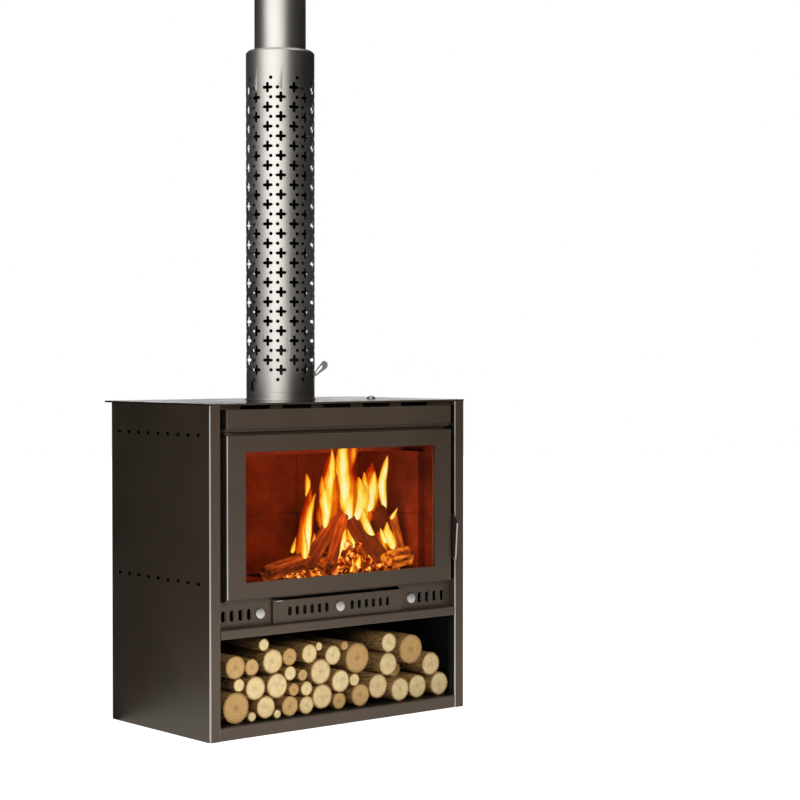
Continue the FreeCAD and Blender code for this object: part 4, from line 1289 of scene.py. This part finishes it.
class STOVE_OT_fire(bpy.types.Operator):
    """Light a fire of leaning logs, embers and flames on the hearth"""

    bl_idname = "stove.fire"
    bl_label = "Fire"

    # Foot and head of each burning log from the middle of the fire, its radius in millimetres and its glow
    logs = (
        ((-285, -15, 20), (-110, 20, 50), 25, 0.95),
        ((-78, -45, 24), (-45, 60, 34), 26, 1.0),
        ((-120, 10, 30), (5, 20, 184), 25, 0.70),
        ((-58, -20, 25), (16, 10, 172), 19, 0.85),
        ((112, -15, 20), (42, 15, 160), 21, 0.7),
        ((190, 20, 30), (90, 25, 135), 22, 0.65),
        ((250, 5, 20), (210, 15, 160), 14, 1.0),
        ((152, -35, 34), (262, 5, 36), 29, 1.45),
        ((222, 45, 40), (142, 10, 186), 29, 0.28),
        ((-150, 60, 25), (160, 55, 34), 28, 0.8),
    )
    # Place of each flame behind the middle of the fire, how cool it is, and then across, height and width
    # from its root to its tip, in millimetres
    flames = (
        (0, 0.0, (-132, 50, 20), (-124, 110, 28), (-121, 158, 23), (-111, 206, 23), (-94, 244, 3)),
        (0, 0.25, (-131, 233, 4), (-121, 262, 22), (-121, 282, 20), (-129, 302, 3)),
        (5, 0.08, (-56, 135, 16), (-50, 187, 40), (-53, 239, 46), (-37, 283, 40), (-27, 325, 26),
         (-30, 372, 4)),
        (8, 0.22, (-50, 190, 24), (-58, 246, 38), (-66, 294, 4)),
        (12, 0.06, (40, 140, 26), (30, 207, 48), (22, 256, 50), (14, 312, 48), (17, 370, 40), (22, 425, 4)),
        (15, 0.30, (-4, 195, 12), (-14, 270, 22), (-22, 345, 16), (-20, 385, 3)),
        (18, 0.42, (34, 270, 20), (46, 320, 34), (62, 365, 40), (72, 405, 4)),
        (8, 0.0, (60, 150, 36), (80, 204, 70), (82, 240, 60), (72, 286, 4)),
        (10, 0.03, (88, 190, 30), (100, 240, 40), (96, 300, 4)),
        (6, 0.02, (112, 175, 44), (122, 225, 48), (127, 268, 34), (133, 302, 3)),
        (4, -0.05, (172, 175, 12), (161, 233, 36), (158, 271, 27), (174, 311, 25), (182, 346, 3)),
        (0, 0.10, (193, 150, 16), (203, 168, 16), (219, 186, 3)),
        (-14, 0.0, (190, 60, 22), (172, 95, 50), (166, 120, 26), (165, 148, 3)),
        (-14, 0.0, (160, 80, 20), (146, 108, 20), (139, 130, 3)),
        (-4, 0.0, (118, 105, 30), (96, 132, 30), (82, 160, 28), (80, 200, 10)),
        (-16, 0.0, (-17, 25, 16), (-12, 70, 24), (-4, 100, 36), (4, 134, 3)),
        (-6, 0.12, (-139, 50, 26), (-141, 100, 24), (-146, 155, 3)),
        (-6, 0.12, (-184, 72, 16), (-178, 92, 18), (-170, 122, 3)),
        (-20, 0.05, (-45, 8, 26), (-38, 24, 20), (-22, 46, 3)),
        (-22, 0.08, (20, 4, 14), (26, 28, 12), (28, 52, 3)),
        (-20, 0.10, (46, 12, 24), (50, 32, 24), (56, 56, 3)),
        (-22, 0.05, (96, 4, 34), (93, 32, 22), (88, 66, 3)),
        (15, 0.20, (-95, 40, 30), (-92, 80, 34), (-86, 128, 3)),
        (20, 0.22, (60, 60, 50), (55, 110, 60), (50, 170, 10)),
        (22, 0.52, (-40, 120, 60), (-30, 200, 84), (-22, 290, 60), (-28, 350, 6)),
        (26, 0.50, (40, 130, 70), (44, 220, 96), (30, 320, 70), (36, 410, 8)),
        (24, 0.52, (110, 140, 70), (120, 210, 90), (128, 270, 60), (140, 325, 6)),
        (20, 0.52, (-128, 40, 50), (-120, 110, 56), (-108, 190, 40), (-96, 262, 6)),
        (16, 0.50, (180, 50, 50), (172, 110, 50), (166, 170, 6)),
    )

    def execute(self, context):
        random.seed(SEED)
        settings = context.scene.stove_fire
        place = Vector(settings.fire_place)
        logs = [burning_log(place, *log) for log in self.logs]
        finished(joined(logs, "burning_logs"), "burning_wood")
        embers = [ember(place) for _ in range(settings.embers)]
        finished(joined(embers, "ember_bed"), "live_ember")
        tongues = [tongue(place, *shape) for shape in self.flames]
        flames = joined(tongues, "flames")
        flames.visible_shadow = False
        finished(flames, "flame")
        return {"FINISHED"}


def finished(piece, finish):
    """A piece of the fire, on the cabinet and in its finish."""
    wear(piece, finish)
    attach(piece, "cabinet")


def burning_log(place, foot, head, radius, glow):
    """A split log between two points over the hearth, with its own grain."""
    start = place + Vector(foot) / 1000
    end = place + Vector(head) / 1000
    along = end - start
    bpy.ops.mesh.primitive_cylinder_add(vertices=5, radius=radius / 1000, depth=along.length)
    log = bpy.context.object
    edit(log)
    bpy.ops.mesh.subdivide(number_cuts=6)
    rough = 0.0022
    bpy.ops.transform.vertex_random(offset=rough, seed=int(radius) + int(along.length * 1000))
    close()
    smooth(log, 28)
    paint(log, "glow", glow)
    grain = log.data.attributes.new("grain", "FLOAT_VECTOR", "POINT")
    for vertex in log.data.vertices:
        grain.data[vertex.index].vector = vertex.co + start
    turn = along.to_track_quat("Z", "Y").to_matrix().to_4x4()
    log.matrix_world = Matrix.Translation((start + end) / 2) @ turn
    settle(log)
    return log


def ember(place):
    """A lump of glowing charcoal in a heap on the hearth."""
    heap_middle, heap_width, heap_height = 0.02, 0.055, 0.085
    size = random.uniform(0.007, 0.016)
    across = max(-0.2, min(0.2, random.gauss(heap_middle, 0.085)))
    behind = max(-0.04, min(0.07, random.gauss(0.005, 0.03)))
    heap = heap_height * math.exp(-((across - heap_middle) / heap_width) ** 2) * random.uniform(0.0, 1.0)
    middle = place + Vector((across, behind, size * 0.6 + heap))
    bpy.ops.mesh.primitive_ico_sphere_add(subdivisions=2, radius=size, location=middle)
    lump = bpy.context.object
    edit(lump)
    bpy.ops.transform.vertex_random(offset=size * 0.25, seed=random.randrange(1000))
    close()
    settle(lump)
    return lump


def tongue(place, behind, cool, *steps):
    """A flat tongue of flame drawn up from its root."""
    turn, flatness = math.radians(-25), 0.42
    spine = [place + Vector((x, behind, z)) / 1000 for x, z, width in steps]
    widths = [width / 1000 for x, z, width in steps]
    bpy.ops.mesh.primitive_circle_add(vertices=12, radius=widths[0] / 2, fill_type="NGON", location=spine[0],
                                      rotation=(0, 0, turn))
    lick = bpy.context.object
    lick.scale = (1, flatness, 1)
    settle(lick)
    edit(lick)
    for step in range(1, len(steps)):
        bpy.ops.mesh.extrude_region_move(TRANSFORM_OT_translate={"value": spine[step] - spine[step - 1]})
        ratio = widths[step] / widths[step - 1]
        bpy.ops.transform.resize(value=(ratio, ratio, 1), center_override=spine[step])
    bpy.ops.mesh.select_all(action="SELECT")
    bpy.ops.mesh.normals_make_consistent(inside=False)
    close()
    mark_flame(lick, spine, widths, Vector((math.cos(turn), math.sin(turn), 0)))
    paint(lick, "cool", cool)
    apply_modifier(lick, "SUBSURF", levels=2, render_levels=2)
    smooth(lick, 180)
    return lick


def mark_flame(lick, spine, widths, sideways):
    """Give each point of a flame its reach along the spine and its nearness to the rim."""
    reach = lick.data.attributes.new("reach", "FLOAT", "POINT")
    rim = lick.data.attributes.new("rim", "FLOAT", "POINT")
    for vertex in lick.data.vertices:
        step = min(range(len(spine)), key=lambda index: abs(spine[index].z - vertex.co.z))
        reach.data[vertex.index].value = step / (len(spine) - 1)
        rim.data[vertex.index].value = abs((vertex.co - spine[step]).dot(sideways)) / (widths[step] / 2)


# Stage


class STOVE_OT_stage(bpy.types.Operator):
    """Set the floor, the lamps and the camera"""

    bl_idname = "stove.stage"
    bl_label = "Stage"

    def execute(self, context):
        settings = context.scene.stove_stage
        pale_floor(settings)
        pale_world()
        dark_surround(settings)
        room_lamps()
        fire_lamp(context.scene.stove_fire)
        glass_glow()
        viewpoint(settings)
        context.scene.view_settings.view_transform = "Standard"
        return {"FINISHED"}


def viewpoint(settings):
    """The camera of the picture."""
    camera = bpy.data.cameras.new("camera")
    camera.lens = settings.lens
    camera.sensor_width = 36
    viewer = bpy.data.objects.new("camera", camera)
    viewer.location = settings.camera_place
    viewer.rotation_euler = settings.camera_turn
    bpy.context.scene.collection.objects.link(viewer)
    bpy.context.scene.camera = viewer


def room_lamps():
    """A window for the reflections, and two lamps that light the front and its foot."""
    window = soft_lamp("window", (-2.9, -1.35, 2.1), (0.0, 0.0, 1.5), (4.0, 2.4), 28, math.radians(-20))
    window.visible_diffuse = False
    for name, place, target, size, power in (
            ("front", (-0.42, -2.3, 1.3), (-0.3, 0.0, 0.4), (0.9, 0.9), 28),
            ("low", (-0.25, -0.9, 0.08), (-0.40, -0.25, 0.10), (0.4, 0.3), 1.5)):
        unseen(soft_lamp(name, place, target, size, power))


def seen_rays(tree):
    """One for rays from the camera, from gloss or through glass, else zero, and zero after a matt surface."""
    path = put(tree, "LightPath").outputs
    total = plus(tree, path["Is Camera Ray"], path["Is Glossy Ray"])
    seen = math_of(tree, "MINIMUM", plus(tree, total, path["Is Transmission Ray"]), 1.0)
    return times(tree, seen, math_of(tree, "LESS_THAN", path["Diffuse Depth"], 0.5))


def pale_floor(settings):
    """A large pale floor that shows hardly any shadow and runs out into the white background."""
    bpy.ops.mesh.primitive_circle_add(vertices=96, radius=settings.floor / 2, fill_type="NGON")
    floor = bpy.context.object
    floor.name = "floor"
    tree, shader = new_material("pale_floor", Base_Color=opaque(settings.pale), Roughness=0.9,
                                Emission_Strength=1.0)
    away = put(tree, "VectorMath", {0: object_place(tree)}, operation="LENGTH").outputs["Value"]
    glow = ranged(tree, away, 0.92, 1.0, 0.7, 3.0)
    light = times(tree, glow, seen_rays(tree))
    lay(tree, shader, Emission_Color=put(tree, "CombineColor", {0: light, 1: light, 2: light}).outputs[0])
    wear(floor, "pale_floor")


def dark_surround(settings):
    """A dark screen round the stove that only reflections show, also those inside the glass.

    It is open at the front left, and low at the back right, and has an apron on the floor at the back left.
    """
    height, apron = 6, 0.1
    bpy.ops.mesh.primitive_cylinder_add(vertices=72, radius=settings.screen, depth=height,
                                        end_fill_type="NOTHING", location=(0, 0, height / 2))
    screen = bpy.context.object
    screen.name = "dark_surround"
    settle(screen)
    edit(screen)
    rise = settings.opening_full - settings.low_band
    cut_across((0, 0, 1), [CABINET_TOP] + [settings.low_band + rise * step / 4 for step in range(5)])
    choose_faces(screen, lambda face: screen_opening(face.center, settings))
    bpy.ops.mesh.delete(type="FACE")
    choose_edges(screen, lambda ends: all(end.z < 0.01 and end.x < 0 < end.y for end in ends))
    bpy.ops.mesh.extrude_region_move()
    bpy.ops.transform.resize(value=(apron, apron, 1), center_override=(0, 0, 0))
    bpy.ops.transform.translate(value=(0, 0, 0.002))
    close()
    screen_finish()
    wear(screen, "dark_screen")
    for rays in ("camera", "diffuse", "volume_scatter", "shadow"):
        setattr(screen, "visible_" + rays, False)


def screen_finish():
    """A dark matt finish that is clear to rays straight through the glass."""
    tree, shader = new_material("dark_screen", Roughness=1.0)
    weave = noise(tree, 2.0)
    path = put(tree, "LightPath").outputs
    straight = math_of(tree, "LESS_THAN", path["Glossy Depth"], 0.5)
    looked_through = times(tree, path["Is Transmission Ray"], straight)
    lay(tree, shader,
        Base_Color=mixed(tree, weave, (0.010, 0.009, 0.008), (0.028, 0.025, 0.023)),
        Alpha=math_of(tree, "SUBTRACT", 1.0, looked_through))


def screen_opening(place, settings):
    """Whether a place on the screen is open. Angles run from the front to the left."""
    angle = math.atan2(-place.x, -place.y)
    low_back = place.z < settings.low_band and settings.back_start < angle < settings.back_end
    end = settings.opening_end
    if CABINET_TOP < place.z < settings.opening_full:
        end -= settings.opening_slant * (settings.opening_full - place.z)
    return low_back or settings.opening_start < angle < end


def pale_world():
    """A white background with a softer light from all sides."""
    world = bpy.context.scene.world or bpy.data.worlds.new("world")
    bpy.context.scene.world = world
    world.use_nodes = True
    tree = world.node_tree
    background = tree.nodes["Background"]
    background.inputs["Color"].default_value = (1, 1, 1, 1)
    seen = seen_rays(tree)
    through_glass = put(tree, "LightPath").outputs["Is Transmission Ray"]
    soft = ranged(tree, through_glass, 0.22, 0.01)
    strength = math_of(tree, "MAXIMUM", seen, soft)
    tree.links.new(strength, background.inputs["Strength"])


def soft_lamp(name, place, target, size, power, roll=0.0):
    """A soft lamp that faces a point, rolled round its own axis."""
    lamp = bpy.data.lights.new(name, "AREA")
    lamp.shape = "RECTANGLE"
    lamp.size, lamp.size_y = size
    lamp.energy = power
    holder = bpy.data.objects.new(name, lamp)
    holder.location = place
    facing = (Vector(target) - Vector(place)).to_track_quat("-Z", "Y")
    holder.rotation_euler = (facing @ Quaternion((0, 0, 1), roll)).to_euler()
    bpy.context.scene.collection.objects.link(holder)
    return holder


def unseen(holder):
    """Hide a lamp itself from the camera, from reflections and through glass."""
    for rays in ("camera", "glossy", "transmission"):
        setattr(holder, "visible_" + rays, False)


def fire_lamp(fire):
    """The fire's own light on the firebox."""
    lamp = bpy.data.lights.new("fire", "POINT")
    lamp.color = FIRE_LIGHT
    lamp.energy = 3.9
    lamp.shadow_soft_size = 0.08
    over_the_logs = Vector((-0.05, -0.065, 0.17))
    holder = bpy.data.objects.new("fire", lamp)
    holder.location = Vector(fire.fire_place) + over_the_logs
    unseen(holder)
    bpy.context.scene.collection.objects.link(holder)


def glass_glow():
    """The part of the fire's light that the door's glass throws back."""
    size, power, gap = (0.62, 0.28), 1.8, 0.004
    low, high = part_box("door_glass")
    middle = (low + high) / 2
    middle.y = high.y + gap
    lamp = soft_lamp("glass_glow", middle, middle + Vector((0, 1, 0)), size, power)
    lamp.data.color = FIRE_LIGHT
    unseen(lamp)


class STOVE_PT_panel(bpy.types.Panel):
    """Lists the stove's pieces and settings"""

    bl_idname = "STOVE_PT_panel"
    bl_label = "Wood Stove"
    bl_space_type = "VIEW_3D"
    bl_region_type = "UI"
    bl_category = "Stove"

    def draw(self, context):
        for operator in OPERATORS:
            self.layout.operator(operator.bl_idname)
        for name in SETTINGS:
            settings = getattr(context.scene, name)
            box = self.layout.box()
            for prop in settings.bl_rna.properties:
                if not prop.is_readonly and prop.identifier != "name":
                    box.prop(settings, prop.identifier)


SETTINGS = {
    "stove_finishes": StoveFinishes,
    "stove_shield": ShieldPattern,
    "stove_fire": FireSettings,
    "stove_stage": StageSettings,
}
OPERATORS = (STOVE_OT_finishes, STOVE_OT_folded_sheets, STOVE_OT_trim, STOVE_OT_screws, STOVE_OT_seals,
             STOVE_OT_air_knobs, STOVE_OT_end_rings, STOVE_OT_flue_shield, STOVE_OT_firewood, STOVE_OT_fire,
             STOVE_OT_stage)


def register():
    """Add the settings, operators and panel to Blender."""
    for name, group in SETTINGS.items():
        bpy.utils.register_class(group)
        setattr(bpy.types.Scene, name, bpy.props.PointerProperty(type=group))
    for item in (*OPERATORS, STOVE_PT_panel):
        bpy.utils.register_class(item)


def unregister():
    """Take them out again."""
    for item in (STOVE_PT_panel, *reversed(OPERATORS)):
        bpy.utils.unregister_class(item)
    for name, group in SETTINGS.items():
        delattr(bpy.types.Scene, name)
        bpy.utils.unregister_class(group)


def main():
    """Build the stove and its stage."""
    register()
    bpy.ops.stove.finishes()
    bpy.ops.stove.folded_sheets()
    bpy.ops.stove.trim()
    bpy.ops.stove.screws()
    bpy.ops.stove.seals()
    bpy.ops.stove.air_knobs()
    bpy.ops.stove.end_rings()
    bpy.ops.stove.flue_shield()
    bpy.ops.stove.firewood()
    bpy.ops.stove.fire()
    bpy.ops.stove.stage()


if __name__ == "__main__":
    main()
